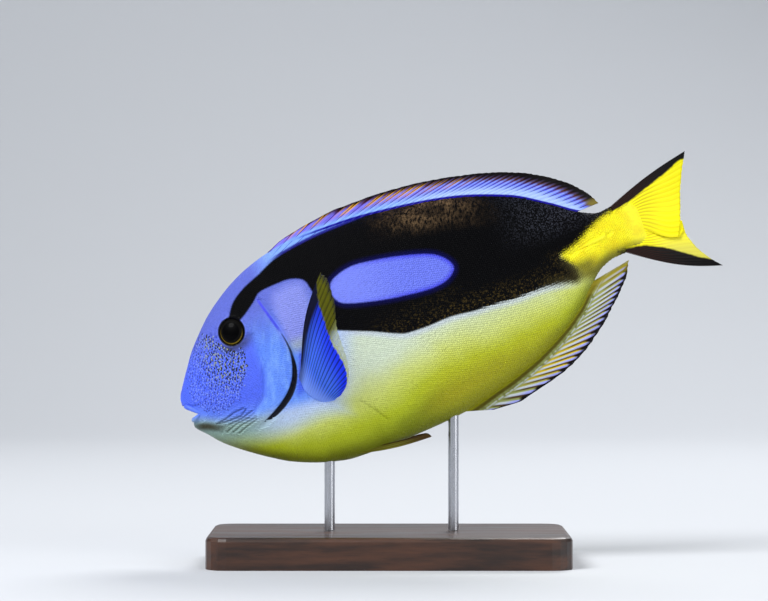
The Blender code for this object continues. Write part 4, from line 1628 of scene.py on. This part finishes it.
def joined(name: str, world: Array, tris: Array) -> bpy.types.Mesh:
    """One mesh of many copies of a small form.

    Args:
        name: The mesh's name.
        world: Positions by copy and vertex.
        tris: The small form's triangles.

    Returns:
        The joined mesh.
    """
    count, per = world.shape[:2]
    all_tris = (tris[None] + np.arange(count)[:, None, None] * per).reshape(-1, 3)
    mesh = bpy.data.meshes.new(name)
    mesh.vertices.add(count * per)
    mesh.vertices.foreach_set("co", world.ravel())
    mesh.loops.add(all_tris.size)
    mesh.loops.foreach_set("vertex_index", all_tris.ravel().astype(np.int32))
    mesh.polygons.add(len(all_tris))
    mesh.polygons.foreach_set("loop_start", np.arange(len(all_tris), dtype=np.int32) * 3)
    mesh.update(calc_edges=True)
    mesh.validate()
    return mesh


def bake_map(mesh: bpy.types.Mesh, roots: Array, spots: Array, tris: Array) -> None:
    """Gives each copy a small patch of the OFBake map at its root's place on the unwrap.

    Args:
        mesh: The mesh.
        roots: The copies' places on the unwrap.
        spots: The small form's positions.
        tris: Its triangles.
    """
    patch = 0.003
    per_copy = (spots[:, :2] * patch)[tris].reshape(-1, 2)
    uv = (roots[:, None, :] + per_copy[None]).reshape(-1, 2)
    layer = mesh.uv_layers.new(name="OFBake")
    layer.data.foreach_set("uv", uv.ravel().astype(np.float32))


Middle = Callable[[Array, Array], Places]


@dataclass(frozen=True)
class FinShape:
    """How a fin's blade is divided and how thick it is, in millimetres."""

    rays: float
    per_ray: int = 6
    rows: int = 26
    root: float = 0.9
    web: float = 0.26
    ray_height: float = 0.2
    tip: float = 0.45
    root_reach: float = 4.0
    notch: float = 0.0


class Fin:
    """A fin's blade: a closed sheet with its rays raised in both faces."""

    def __init__(self, name: str, at: FishFrame, shape: FinShape, middle: Middle,
                 count: Callable[[Array], Array] | None = None) -> None:
        """Keeps the blade's shape; count gives the number of rays passed at share q.

        Args:
            name: The piece's name.
            at: The fish's frame.
            shape: The blade's divisions and thickness.
            middle: Its middle surface.
            count: Rays passed at share q.
        """
        self.name = name
        self.at = at
        self.shape = shape
        self.middle = middle
        self.count = count or (lambda q: q * shape.rays)

    def half(self, q: Array, t: Array) -> Array:
        """Half the blade's thickness.

        Args:
            q: Share across the rays.
            t: Share of the way to the margin.

        Returns:
            Half thickness in mm.
        """
        f = self.shape
        web = f.web + (f.root - f.web) * np.maximum(0.0, 1.0 - t) ** f.root_reach
        wave = np.abs(1.0 - 2.0 * (self.count(q) % 1.0))
        ray = f.ray_height * ease(0.35, 1.0, wave) * (1.0 + (f.tip - 1.0) * t)
        return web / 2 + ray

    def build(self, material: bpy.types.Material, slot: str, nodes: tuple[str, ...],
              **extra: Callable[[Array, Array], Array]) -> bpy.types.Object:
        """Builds the blade.

        Args:
            material: Its finish, which reads the values q, t and ray.
            slot: The record's material slot; not used.
            nodes: CAD nodes that the blade stands for.
            extra: Further values by name, each a rule of q and t.

        Returns:
            The new piece.
        """
        f = self.shape
        columns = int(math.ceil(f.rays)) * f.per_ray
        work = bmesh.new()
        bmesh.ops.create_grid(work, x_segments=columns, y_segments=f.rows, size=1.0)
        bmesh.ops.triangulate(work, faces=work.faces[:], quad_method="FIXED")
        made = bmesh.ops.extrude_face_region(work, geom=work.faces[:])
        far = [v for v in made["geom"] if isinstance(v, bmesh.types.BMVert)]
        bmesh.ops.translate(work, verts=far, vec=Vector((0.0, 0.0, 1.0)))
        mesh = mesh_of(self.name, work)
        flat = read_spots(mesh)
        q, share = (flat[:, 0] + 1) / 2, (flat[:, 1] + 1) / 2
        way = np.where(flat[:, 2] > 0.5, 1.0, -1.0)
        count = self.count(q)
        gap = (1.0 - np.abs(1.0 - 2.0 * (count % 1.0))) * (0.6 + 0.4 * np.sin(count * 1.7))
        t = share * (1.0 - f.notch * gap * ease(0.5, 1.0, share))
        centre = self.at.place(*self.middle(q, t))
        small = 1e-3
        across = (self.at.place(*self.middle(q + small, t))
                  - self.at.place(*self.middle(q - small, t)))
        up = self.at.place(*self.middle(q, t + small)) - self.at.place(*self.middle(q, t - small))
        spots = centre + unit(np.cross(across, up)) * (way * self.half(q, t) * MM)[:, None]
        mesh.vertices.foreach_set("co", spots.ravel())
        turn_out(mesh)
        further = {word: rule(q, share) for word, rule in extra.items()}
        carry(mesh, {"q": q, "t": share, "ray": count} | further)
        piece = add_piece(self.name, mesh, nodes)
        mesh.materials.append(material)
        return piece


@dataclass(frozen=True)
class FinFinish:
    """The finishes of the fins: thin wet webs over rays."""

    sky: Colour = colour("86aefc")
    blue: Colour = colour("5a68ee")
    violet: Colour = colour("7466e0")
    streak: Colour = colour("e2a41e")
    maroon: Colour = colour("3c140c")
    margin: Colour = colour("080406")
    white_blue: Colour = colour("a6bffc")
    tip_olive: Colour = colour("76692a")
    rear_olive: Colour = colour("96881c")
    line_blue: Colour = colour("120a90")
    gold_brown: Colour = colour("b08a10")
    navy: Colour = colour("1a1250")
    yellow: Colour = colour("fff51a")
    yellow_deep: Colour = colour("ecd000")
    dull_yellow: Colour = colour("bab660")
    black: Colour = colour("060405")
    brown: Colour = colour("30160e")
    base_green: Colour = colour("757a42")
    white: Colour = colour("bcc4cc")
    lavender: Colour = colour("959be4")
    keel_shade_line: Colour = colour("544c06")
    belly_edge: Colour = colour("868612")
    gold: Colour = colour("cdb52a")
    pale_green: Colour = colour("8f985a")
    deep_blue: Colour = colour("1a36ff")
    bright_blue: Colour = colour("4a7aff")
    foot_blue: Colour = colour("7c9efc")
    ink: Colour = colour("05082a")
    olive: Colour = colour("64640c")
    dark_olive: Colour = colour("4a4a0a")
    fringe: Colour = colour("c3cc96")
    soft_olive: Colour = colour("7d7a30")
    umber: Colour = colour("3c2412")

    def close(self, k: Shader, tint: object, alpha: object = 1.0) -> bpy.types.Material:
        """The thin, wet surface that all the fins share.

        Args:
            k: The material in the making.
            tint: The colour.
            alpha: How solid it is.

        Returns:
            The material.
        """
        # A thin wet web: a flat, faintly glossy sheet whose rays catch the light. The grain is
        # coarser than the real one, which a pixel would hide.
        normal = k.add("Bump", 0.4, 0.04 * MM, None, k.grain(0.5))
        return k.finish(Base_Color=tint, Roughness=0.42, Normal=normal, Alpha=alpha, IOR=1.38,
                        Specular_IOR_Level=0.14, Coat_Weight=0.03, Coat_Roughness=0.2)

    def dorsal(self) -> bpy.types.Material:
        """Sky-blue foot, violet web ruled with dark lines, gold streaks ahead, dark margin.

        Returns:
            The material.
        """
        # Its bands waver over 1.2 mm, less than half of the space between two rays.
        k = Shader("dorsal_fin_web", "t", "q", "ray", "clear")
        wave, rear = k.crest("ray"), k.share(("q", 0.34, 0.6))
        height = k.shifted("t", k.waver(1.2, 0.1))
        thin = k.add("Math", wave, k.share(("q", 0.15, 0.5, 0.62, 1.0)), operation="DIVIDE")
        some = k.add("TexNoise", k.share("ray", 0.83), 1.0, 0.0, noise_dimensions="1D")
        above = k.shifted(height, ("q", 0.04, 0.26, -0.14, 0.0), ("q", 0.4, 0.8, 0.0, 0.09),
                          (wave, 0.0, 0.8, 0.05, -0.02))
        return self.close(k, k.lay(
            k.lay(self.sky, (self.white_blue, rear)),
            (k.lay(self.violet, (self.blue, rear)), (height, 0.3, 0.6)),
            (self.white_blue, (wave, 0.5, 0.9), ("q", 0.2, 0.6, 0.15, 0.6), (height, 0.3, 0.4)),
            (self.navy, (thin, 0.06, 0.24, 1.0, 0.0), (height, 0.3, 0.46)),
            (self.maroon, (above, 0.66, 0.86), (wave, 0.1, 0.9, 1.0, 0.85)),
            (self.streak, (wave, 0.1, 0.24), (wave, 0.42, 0.66, 1.0, 0.0), (some, 0.38, 0.58),
             (height, 0.46, 0.64), ("q", 0.03, 0.1), ("q", 0.42, 0.66, 1.0, 0.1)),
            (self.margin, (above, 0.8, 0.98)),
            (self.tip_olive, ("q", 0.965, 0.99), ("t", 0.5, 0.8)),
            (self.line_blue, ("clear", 0.5, 1.0, 1.0, 0.0), ("q", 0.06, 0.2))))

    def anal(self) -> bpy.types.Material:
        """Olive foot with a painted shade line, pale rays with gold behind and brown ahead of
        each, dark margin.

        Returns:
            The material.
        """
        k = Shader("anal_fin_web", "t", "q", "ray", "clear")
        wave = k.crest("ray")
        height = k.shifted("t", k.waver(2.0, 0.08))
        clear = k.shifted("clear", k.waver(6.0, 0.5))
        behind = k.add("Math", k.marks["ray"], operation="FRACT")
        streaks = k.grain(0.5, stretch=(0.3, 1.0, 0.3))
        rays = k.lay(self.white, (self.lavender, (height, 0.64, 0.92)))
        foot = k.lay(self.base_green, (self.pale_green, (streaks, 0.35, 0.65)))
        return self.close(k, k.lay(
            self.pale_green,
            (self.gold, ("q", 0.12, 0.3), ("q", 0.4, 0.62, 1.0, 0.12)),
            (self.maroon, (behind, 0.34, 0.6), (height, 0.4, 0.7, 0.0, 0.9)),
            (rays, (wave, 0.42, 0.76)),
            (self.margin, (k.shifted(height, (wave, 0.0, 0.8, 0.07, 0.0)), 0.9, 0.97)),
            (foot, (clear, 3.4, 4.8, 1.0, 0.0)),
            (self.white, (clear, 3.0, 3.3), (clear, 3.5, 3.9, 1.0, 0.0),
             (streaks, 0.4, 0.5, 0.0, 0.6)),
            # Painted shade: the dark line where the belly turns under, laid on the fin's foot.
            (self.keel_shade_line, (clear, 1.7, 2.6, 0.95, 0.0)),
            (self.belly_edge, (clear, 0.4, 1.2, 1.0, 0.0)),
            (self.rear_olive, ("q", 0.88, 0.98), (wave, 0.0, 0.9, 0.95, 0.6))))

    def caudal(self) -> bpy.types.Material:
        """Bright yellow web with faint rays, black upper and lower edges, and painted shade on its
        fold and lower root.

        Returns:
            The material.
        """
        k = Shader("caudal_fin_web", "t", "q", "ray", "pleat", "black")
        wave = k.crest("ray")
        dark = k.lay(self.black, (self.brown, ("t", 0.1, 0.8, 1.0, 0.0), (wave, 0.3, 0.7)))
        return self.close(k, k.lay(
            self.yellow,
            (self.yellow_deep, (wave, 0.0, 0.5, 1.0, 0.0), ("t", 0.2, 0.5, 0.0, 0.45)),
            (self.gold_brown, ("t", 0.2, 0.34), ("t", 0.4, 0.75, 1.0, 0.0),
             (wave, 0.1, 0.7, 0.5, 0.05)),
            # Painted shade: olive over the part folded over the rest.
            (self.olive, "pleat", 0.16),
            # A duller, greyer yellow over the middle of the lower lobe.
            (self.dull_yellow, ("q", 0.62, 0.86, 0.0, 0.66), ("t", 0.3, 0.7)),
            # Painted shade: olive at the lower root, going on from the tail stalk's painted shade.
            (self.olive, ("t", 0.05, 0.32, 0.75, 0.0), ("q", 0.62, 0.92)),
            (dark, (k.shifted("black", k.waver(2.5, 0.7)), -0.4, 0.4))))

    def pectoral(self) -> bpy.types.Material:
        """Deep blue blade with dark lines, a black leading edge and a clear olive margin.

        Returns:
            The material.
        """
        # The margin beyond the blue is clear, so it's partly see-through where it's thinnest.
        k = Shader("pectoral_fin_web", "t", "q", "ray", "margin")
        wave = k.crest("ray")
        lead = k.shifted("q", ("t", 0.2, 0.9, 0.0, -0.07))
        margin = k.shifted("margin", k.waver(1.6, 0.07))
        outer = k.lay(self.dark_olive, (self.olive, (wave, 0.1, 0.6)),
                      (self.fringe, ("q", 0.36, 0.5)))
        web = k.lay(
            self.foot_blue,
            (self.bright_blue, ("t", 0.02, 0.3)),
            (self.deep_blue, ("t", 0.3, 0.85)),
            (self.ink, ("q", 0.03, 0.26, 0.6, 0.0)),
            (self.ink, (wave, 0.08, 0.38, 0.85, 0.0), ("t", 0.02, 0.32)),
            (self.ink, (lead, 0.03, 0.08, 1.0, 0.0), ("t", 0.05, 0.2)),
            (outer, (margin, -0.015, 0.02)),
            (self.ink, ("t", 0.93, 1.0), ("q", 0.3, 0.4, 0.6, 0.0)))
        ragged = k.share((wave, 0.0, 0.8, 1.1, 1.0), (margin, 0.0, 0.05),
                         ("q", 0.34, 0.52, 0.12, 0.6))
        return self.close(k, web, k.add("Math", 1.0, ragged, operation="SUBTRACT"))

    def pelvic(self) -> bpy.types.Material:
        """Olive web with an umber spine and dark tip.

        Returns:
            The material.
        """
        k = Shader("pelvic_fin_web", "t", "q", "ray")
        return self.close(k, k.lay(
            self.soft_olive,
            (self.olive, (k.crest("ray"), 0.2, 0.6)),
            (self.umber, ("t", 0.45, 0.95, 0.1, 0.9)),
            (self.umber, ("q", 0.7, 0.95))))


@dataclass(frozen=True)
class MedianFins:
    """The fins on the fish's midline: back, belly and tail."""

    form: BodyForm
    marks: Markings
    caudal_start: float = 179.0
    caudal_root: tuple[float, float] = (14.3, -3.7)
    caudal_margin: Points = ((214.6, 24.9), (213.2, 22.2), (209.8, 15.5), (207, 8.8),
                             (204.8, 1.8), (204, -4.8), (205.2, -9.9), (208.9, -16.5),
                             (213.3, -21.6))
    caudal_bow: Points = ((0, 1.1), (0.5, 0), (1, -2.4))
    caudal_wave: float = 2.4
    fold: Points = ((0, 0), (0.524, 0.662), (0.628, 0.53), (1, 1))
    fold_depth: Points = ((0.36, 0), (0.5, -0.85), (0.524, -0.8), (0.576, 0),
                          (0.628, 0.8), (0.66, 0.75), (0.8, 0))
    fold_short: Points = ((0.36, 0), (0.43, 0.035), (0.524, 0.135), (0.57, 0.02), (0.6, 0))

    def fan(self, q: Array, t: Array) -> Places:
        """The middle surface of the tail fin, folded once over itself behind its middle.

        Args:
            q: Share across the rays.
            t: Share of the way to the margin.

        Returns:
            s, y and h.
        """
        def between(points: Points, x: Array) -> Array:
            """Values between the points, on straight lines."""
            return np.interp(x, *zip(*points))

        folded = ease(0.25, 0.9, t)
        deep = between(self.fold_depth, q) * folded
        t = t * (1.0 - between(self.fold_short, q))
        q = q + (between(self.fold, q) - q) * folded
        foot_h = self.caudal_root[0] + (self.caudal_root[1] - self.caudal_root[0]) * q
        tip_s, tip_h = along(self.caudal_margin, q)
        bow = between(self.caudal_bow, q) * np.sin(math.pi * t)
        wave = self.caudal_wave * t * t * np.sin(2 * math.pi * (q - 0.15)) + deep
        s = self.caudal_start + (tip_s - self.caudal_start) * t
        return s, wave, foot_h + (tip_h - foot_h) * t + bow

    def pleated(self, q: Array, t: Array) -> Array:
        """1 on the part of the tail fin that lies folded over the rest."""
        return ease(0.3, 0.6, t) * ease(0.4, 0.46, q) * (1.0 - ease(0.52, 0.54, q))

    def build(self) -> None:
        """Builds the three fins."""
        finish = FinFinish()
        at = self.form.at
        back, low = dorsal_sail(self.form), anal_sail(self.form)
        shape = FinShape(39.0, 6, 24, notch=0.02)
        Fin("dorsal_fin_blade", at, shape, back.middle, back.rays).build(
            finish.dorsal(), "fin_back", ("dorsal_fin",), clear=back.clear)
        Fin("anal_fin_blade", at, FinShape(20.0, 10, 24, notch=0.02), low.middle, low.rays).build(
            finish.anal(), "fin_belly", ("anal_fin",), clear=low.clear)
        shape = FinShape(32.0, 8, 40, root=3.0, root_reach=4.0, ray_height=0.12, notch=0.006)
        tail = Fin("caudal_fin_blade", at, shape, self.fan).build(
            finish.caudal(), "fin_tail", ("caudal_fin_upper", "caudal_fin_lower"),
            pleat=self.pleated)
        s, _, h = at.read(read_spots(tail.data))
        carry(tail.data, {"black": self.marks.black(s, h)})


@dataclass(frozen=True)
class PairedFins:
    """The fins in pairs: pectorals raised from the flanks, pelvics folded on the belly."""

    form: BodyForm
    feet: Points = ((46.4, -6.4), (46.6, -10.4), (48.3, -14.2), (51.4, -16.9), (55.2, -18))
    tips: Points = ((67.2, 28), (68.6, 24.2), (68.4, 17.4), (66.6, 10.6), (65.4, 4.4),
                    (65.3, -2.2), (64.4, -9), (61.9, -14), (58.2, -17.2))
    bow: tuple[float, float] = (-2.3, 1.2)
    stand_out: float = math.radians(36.0)
    sink: float = 1.2
    pelvic_feet: tuple[float, float] = (51.5, 60.5)
    pelvic_tips: Points = ((84.8, -44.2), (83.2, -42.6), (77, -42))
    pelvic_out: float = 3.8
    pelvic_sag: float = 1.3
    blue_reach: Line = Line(((0, 0.92), (0.025, 0.88), (0.165, 0.76), (0.3, 0.76),
                             (0.42, 0.8), (0.54, 0.84), (0.7, 0.89), (0.86, 0.95), (1, 1.02)))

    def pectoral(self, side: int, q: Array, t: Array) -> Places:
        """The middle surface of one pectoral fin.

        Args:
            side: -1 for the fish's left, 1 for its right.
            q: Share across the rays.
            t: Share of the way to the margin.

        Returns:
            s, y and h.
        """
        foot_s, foot_h = along(self.feet, q)
        tip_s, tip_h = along(self.tips, q)
        t = np.maximum(t, 0.0)
        bow = np.sin(math.pi * np.minimum(t, 1.0) ** 1.15) * np.maximum(0.0, 1.0 - q) ** 2.2
        s = foot_s + (tip_s - foot_s) * t + self.bow[0] * bow
        h = foot_h + (tip_h - foot_h) * t + self.bow[1] * bow
        length = np.hypot(tip_s - foot_s, tip_h - foot_h)
        out = self.form.side(foot_s, foot_h) - self.sink
        out = out + math.tan(self.stand_out) * length * t + 1.5 * np.sin(math.pi * t)
        return s, side * out, h

    def pelvic(self, side: int, q: Array, t: Array) -> Places:
        """The middle surface of one pelvic fin.

        Args:
            side: -1 for the fish's left, 1 for its right.
            q: Share across the rays.
            t: Share of the way to the margin.

        Returns:
            s, y and h.
        """
        foot_s = self.pelvic_feet[0] + (self.pelvic_feet[1] - self.pelvic_feet[0]) * q
        foot_h = self.form.underside(foot_s, self.pelvic_out) + self.sink
        tip_s, tip_h = along(self.pelvic_tips, q)
        sag = self.pelvic_sag * np.sin(math.pi * t) * (1.0 - q)
        s = foot_s + (tip_s - foot_s) * t
        return s, side * (self.pelvic_out + 0.8 * t), foot_h + (tip_h - foot_h) * t - sag

    def build(self) -> None:
        """Builds both pairs."""
        finish = FinFinish()
        blue, olive = finish.pectoral(), finish.pelvic()
        at = self.form.at
        for side, word in ((-1, "left"), (1, "right")):
            wing = FinShape(20.0, 8, 44, root=2.6, root_reach=6.0, ray_height=0.12, notch=0.015)
            Fin(f"pectoral_blade_{word}", at, wing, partial(self.pectoral, side)).build(
                blue, "fin_side", (f"pectoral_fin_{word}",),
                margin=lambda q, t: t - self.blue_reach(q))
            flap = FinShape(4.0, 8, 24, root=1.2)
            Fin(f"pelvic_blade_{word}", at, flap, partial(self.pelvic, side)).build(
                olive, "fin_pelvic", (f"pelvic_fin_{word}",))


@dataclass(frozen=True)
class Eyes:
    """The two eyes: a wide black pupil in a dark iris with a thin gold ring, under a cornea."""

    form: BodyForm
    pupil: float = 0.66
    iris: Colour = colour("0d0c0b")
    ring: Colour = colour("8a7420")
    black: Colour = colour("010102")

    def finish(self) -> bpy.types.Material:
        """A wet, clear cornea over the iris.

        Returns:
            The material.
        """
        # A clear dome over a wide pupil: near black and glossy, with a broken gold ring that
        # shows most along its lower edge.
        k = Shader("eye_cornea", "away", "side_x", "side_y")
        lower = k.shifted(k.share("side_y", -0.8), k.share("side_x", -0.3))
        tint = k.lay(
            self.black,
            (self.iris, ("away", self.pupil - 0.02, self.pupil + 0.02)),
            (self.ring, ("away", 0.8, 0.84), ("away", 0.87, 0.91, 1.0, 0.0),
             (lower, -0.35, 0.75), (k.grain(0.4), 0.3, 0.6, 0.5, 1.0)))
        return k.finish(Base_Color=tint, Roughness=0.5, IOR=1.2, Specular_IOR_Level=0.14,
                        Coat_Weight=0.2, Coat_Roughness=0.04, Coat_IOR=1.15)

    def build(self) -> None:
        """Builds both eyes."""
        place = self.form.eye
        material = self.finish()
        for side, word in ((-1, "left"), (1, "right")):
            facing = self.form.normal(place.s, place.h, side)
            upward = (Vector((0.0, 0.0, 1.0)) - facing * facing.z).normalized()
            onward = facing.cross(upward) * side
            skin = Vector((place.s, side * float(self.form.side(place.s, place.h)), place.h))
            centre = skin + facing * (place.bulge - place.depth)
            work = bmesh.new()
            bmesh.ops.create_uvsphere(work, u_segments=72, v_segments=48, radius=1.0)
            mesh = mesh_of("eye_" + word, work)
            x, y, z = read_spots(mesh).T
            axes = [np.array(v)[None] for v in (onward, upward, facing)]
            flat = (np.array(centre)[None] + x[:, None] * axes[0] * place.radius * place.narrow
                    + y[:, None] * axes[1] * place.radius + z[:, None] * axes[2] * place.depth)
            world = self.form.at.place(flat[:, 0], flat[:, 1], flat[:, 2])
            mesh.vertices.foreach_set("co", world.ravel())
            away = np.where(z > 0, np.hypot(x, y), 1.2)
            carry(mesh, {"away": away, "side_x": x, "side_y": y})
            turn_out(mesh)
            add_piece("eyeball_" + word, mesh, ("eye_" + word,))
            mesh.materials.append(material)


@dataclass(frozen=True)
class TailBlades:
    """The surgeonfish's folded scalpels, one in a groove on each side of the tail's stalk."""

    form: BodyForm
    marks: Markings
    run: tuple[float, float] = (161, 173.5)
    level: tuple[float, float] = (3.4, 4.8)
    height: float = 1.2
    bulge: float = 0.75

    def build(self, material: bpy.types.Material) -> None:
        """Builds both blades in the skin's own finish.

        Args:
            material: The skin's finish.
        """
        for side, word in ((-1, "left"), (1, "right")):
            work = bmesh.new()
            bmesh.ops.create_cone(work, cap_ends=True, segments=24, radius1=1.0, radius2=0.12,
                                  depth=1.0)
            long_edges = [e for e in work.edges if abs(e.verts[0].co.z - e.verts[1].co.z) > 0.5]
            bmesh.ops.subdivide_edges(work, edges=long_edges, cuts=14, use_grid_fill=True)
            mesh = mesh_of("tail_blade_" + word, work)
            x, y, z = read_spots(mesh).T
            t = 0.5 - z
            s = self.run[0] + (self.run[1] - self.run[0]) * t
            round_off = np.sqrt(np.maximum(0.02, 1.0 - np.maximum(0.0, 1.0 - 3.5 * t) ** 2))
            h = self.level[0] + (self.level[1] - self.level[0]) * t + y * self.height * round_off
            out = self.form.side(s, h) - 0.2 + x * self.bulge * round_off
            spots = self.form.at.place(s, side * out, h)
            mesh.vertices.foreach_set("co", spots.ravel())
            turn_out(mesh)
            carry(mesh, marks_of(self.form, self.marks, s, h))
            add_piece("tail_scalpel_" + word, mesh)
            mesh.materials.append(material)


@dataclass(frozen=True)
class Stand:
    """The wooden base and steel rods, dressed as the solids stand."""

    wood_dark: Colour = colour("1e100a")
    wood_light: Colour = colour("4a2a18")
    steel: Colour = colour("b8bac0")

    def wood(self) -> bpy.types.Material:
        """Oiled dark hardwood with its grain along the base.

        Returns:
            The material.
        """
        # Planed, oiled wood: dark, satin, with long soft bands. Real pores are about 0.2 mm
        # wide, too fine to show here, so they're drawn at 0.6 mm.
        k = Shader("oiled_hardwood")
        grain = k.grain(5.0, 4.0, 0.6, (0.12, 1.0, 1.0))
        pores = k.grain(0.6, stretch=(0.08, 1.0, 1.0))
        tint = k.lay(self.wood_dark, (self.wood_light, (grain, 0.3, 0.7)),
                     (self.wood_dark, (pores, 0.55, 0.75, 0.0, 0.5)))
        return k.finish(Base_Color=tint, Roughness=k.share((grain, 0.3, 0.7, 0.38, 0.5)),
                        Normal=k.add("Bump", 0.4, 0.08 * MM, None, pores), Coat_Weight=0.15,
                        Coat_Roughness=0.25)

    def metal(self) -> bpy.types.Material:
        """Brushed stainless steel.

        Returns:
            The material.
        """
        # Brushed along its length: grey metal with a soft, streaked gleam. Real brush marks
        # are under 0.05 mm, so they're drawn at 0.25 mm.
        k = Shader("brushed_steel_rod")
        brush = k.grain(0.25, stretch=(1.0, 1.0, 0.05))
        return k.finish(Base_Color=self.steel, Metallic=1.0,
                        Roughness=k.share((brush, 0.3, 0.7, 0.2, 0.34)))

    def build(self) -> None:
        """Gives the solids their finishes."""
        wood, metal = self.wood(), self.metal()
        finishes = {"stand_base": (wood, "base_wood"), "stand_rod_front": (metal, "rod_steel"),
                    "stand_rod_rear": (metal, "rod_steel")}
        for name, (material, slot) in finishes.items():
            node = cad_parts[name]
            node.data.materials.clear()
            node.data.materials.append(material)
            log.info("%s dressed", name)


@dataclass(frozen=True)
class Studio:
    """A plain pale floor, soft lights and the camera at the photo's angle."""

    distance: float = 1.1
    lens: float = 135.7
    aim_x: float = -0.02687
    aim_z: float = 0.0994
    bend: float = 1.0
    round_off: float = 0.7
    aim: tuple[float, float, float] = (0.0, 0.0, 0.08)
    # Each lamp's place and size in metres, and its power in watts.
    lamps: tuple[tuple[str, tuple[float, float, float], float, float], ...] = (
        ("key", (-0.8, -0.75, 1.25), 0.8, 26.0),
        ("fill", (1.1, -0.9, 0.5), 1.0, 9.0),
        ("rim", (0.4, 0.9, 1.1), 0.7, 12.0))
    floor: Colour = colour("c9ccd1")
    sky: Colour = colour("dfe4ea")
    sky_power: float = 0.35

    def camera(self) -> None:
        """The camera: level, square to the fish's left side."""
        data = bpy.data.cameras.new("camera")
        data.lens = self.lens
        data.sensor_width = 36.0
        data.sensor_fit = "HORIZONTAL"
        data.dof.use_dof = False
        camera = link("camera", data)
        camera.location = (self.aim_x, -self.distance, self.aim_z)
        camera.rotation_euler = (math.radians(90.0), 0.0, 0.0)
        bpy.context.scene.camera = camera

    def light(self, name: str, spot: tuple[float, float, float], size: float,
              power: float) -> None:
        """One large soft lamp that faces the fish.

        Args:
            name: Its name.
            spot: Where it stands, in metres.
            size: Its width.
            power: Its watts.
        """
        data = bpy.data.lights.new(name, "AREA")
        data.shape = "DISK"
        data.size = size
        data.energy = power
        lamp = link(name, data)
        lamp.location = spot
        aim = Vector(self.aim) - Vector(spot)
        lamp.rotation_euler = aim.to_track_quat("-Z", "Y").to_euler()

    def floor_piece(self) -> None:
        """A pale floor that curves up behind the fish."""
        work = bmesh.new()
        line = [(-2.5, 0), (self.bend, 0.0)]
        for k in range(1, 13):
            turn = 0.5 * math.pi * k / 12
            line.append((self.bend + self.round_off * math.sin(turn),
                         self.round_off * (1 - math.cos(turn))))
        line.append((self.bend + self.round_off, 3.5))
        verts = [work.verts.new((-4.0, y, z)) for y, z in line]
        edges = [work.edges.new(pair) for pair in zip(verts, verts[1:])]
        made = bmesh.ops.extrude_edge_only(work, edges=edges)
        far = [v for v in made["geom"] if isinstance(v, bmesh.types.BMVert)]
        bmesh.ops.translate(work, verts=far, vec=Vector((8.0, 0.0, 0.0)))
        mesh = mesh_of("floor", work)
        mesh.shade_smooth()
        # Matt studio paper: no gloss, so only the model's soft shadow shows on it.
        paper = Shader("matt_studio_paper").finish(Base_Color=self.floor, Roughness=0.8)
        mesh.materials.append(paper)
        link("floor", mesh)

    def build(self) -> None:
        """Builds the studio."""
        self.floor_piece()
        self.camera()
        for lamp in self.lamps:
            self.light(*lamp)
        world = bpy.data.worlds.new("studio")
        bpy.context.scene.world = world
        world.use_nodes = True
        back = world.node_tree.nodes["Background"]
        back.inputs["Color"].default_value = self.sky
        back.inputs["Strength"].default_value = self.sky_power
        bpy.context.scene.view_settings.view_transform = "Standard"


def main() -> None:
    """Builds every piece in order and reports it."""
    logging.basicConfig(level=logging.INFO, format="%(name)s: %(message)s")
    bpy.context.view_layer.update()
    form, marks = BodyForm(), Markings()
    skin = Skin(form, marks).build()
    Lips(form, marks).build(skin.data.materials[0])
    TailBlades(form, marks).build(skin.data.materials[0])
    Scales(form, marks).build()
    Freckles(form, marks).build()
    Eyes(form).build()
    MedianFins(form, marks).build()
    PairedFins(form).build()
    Stand().build()
    Studio().build()


if __name__ == "__main__":
    main()
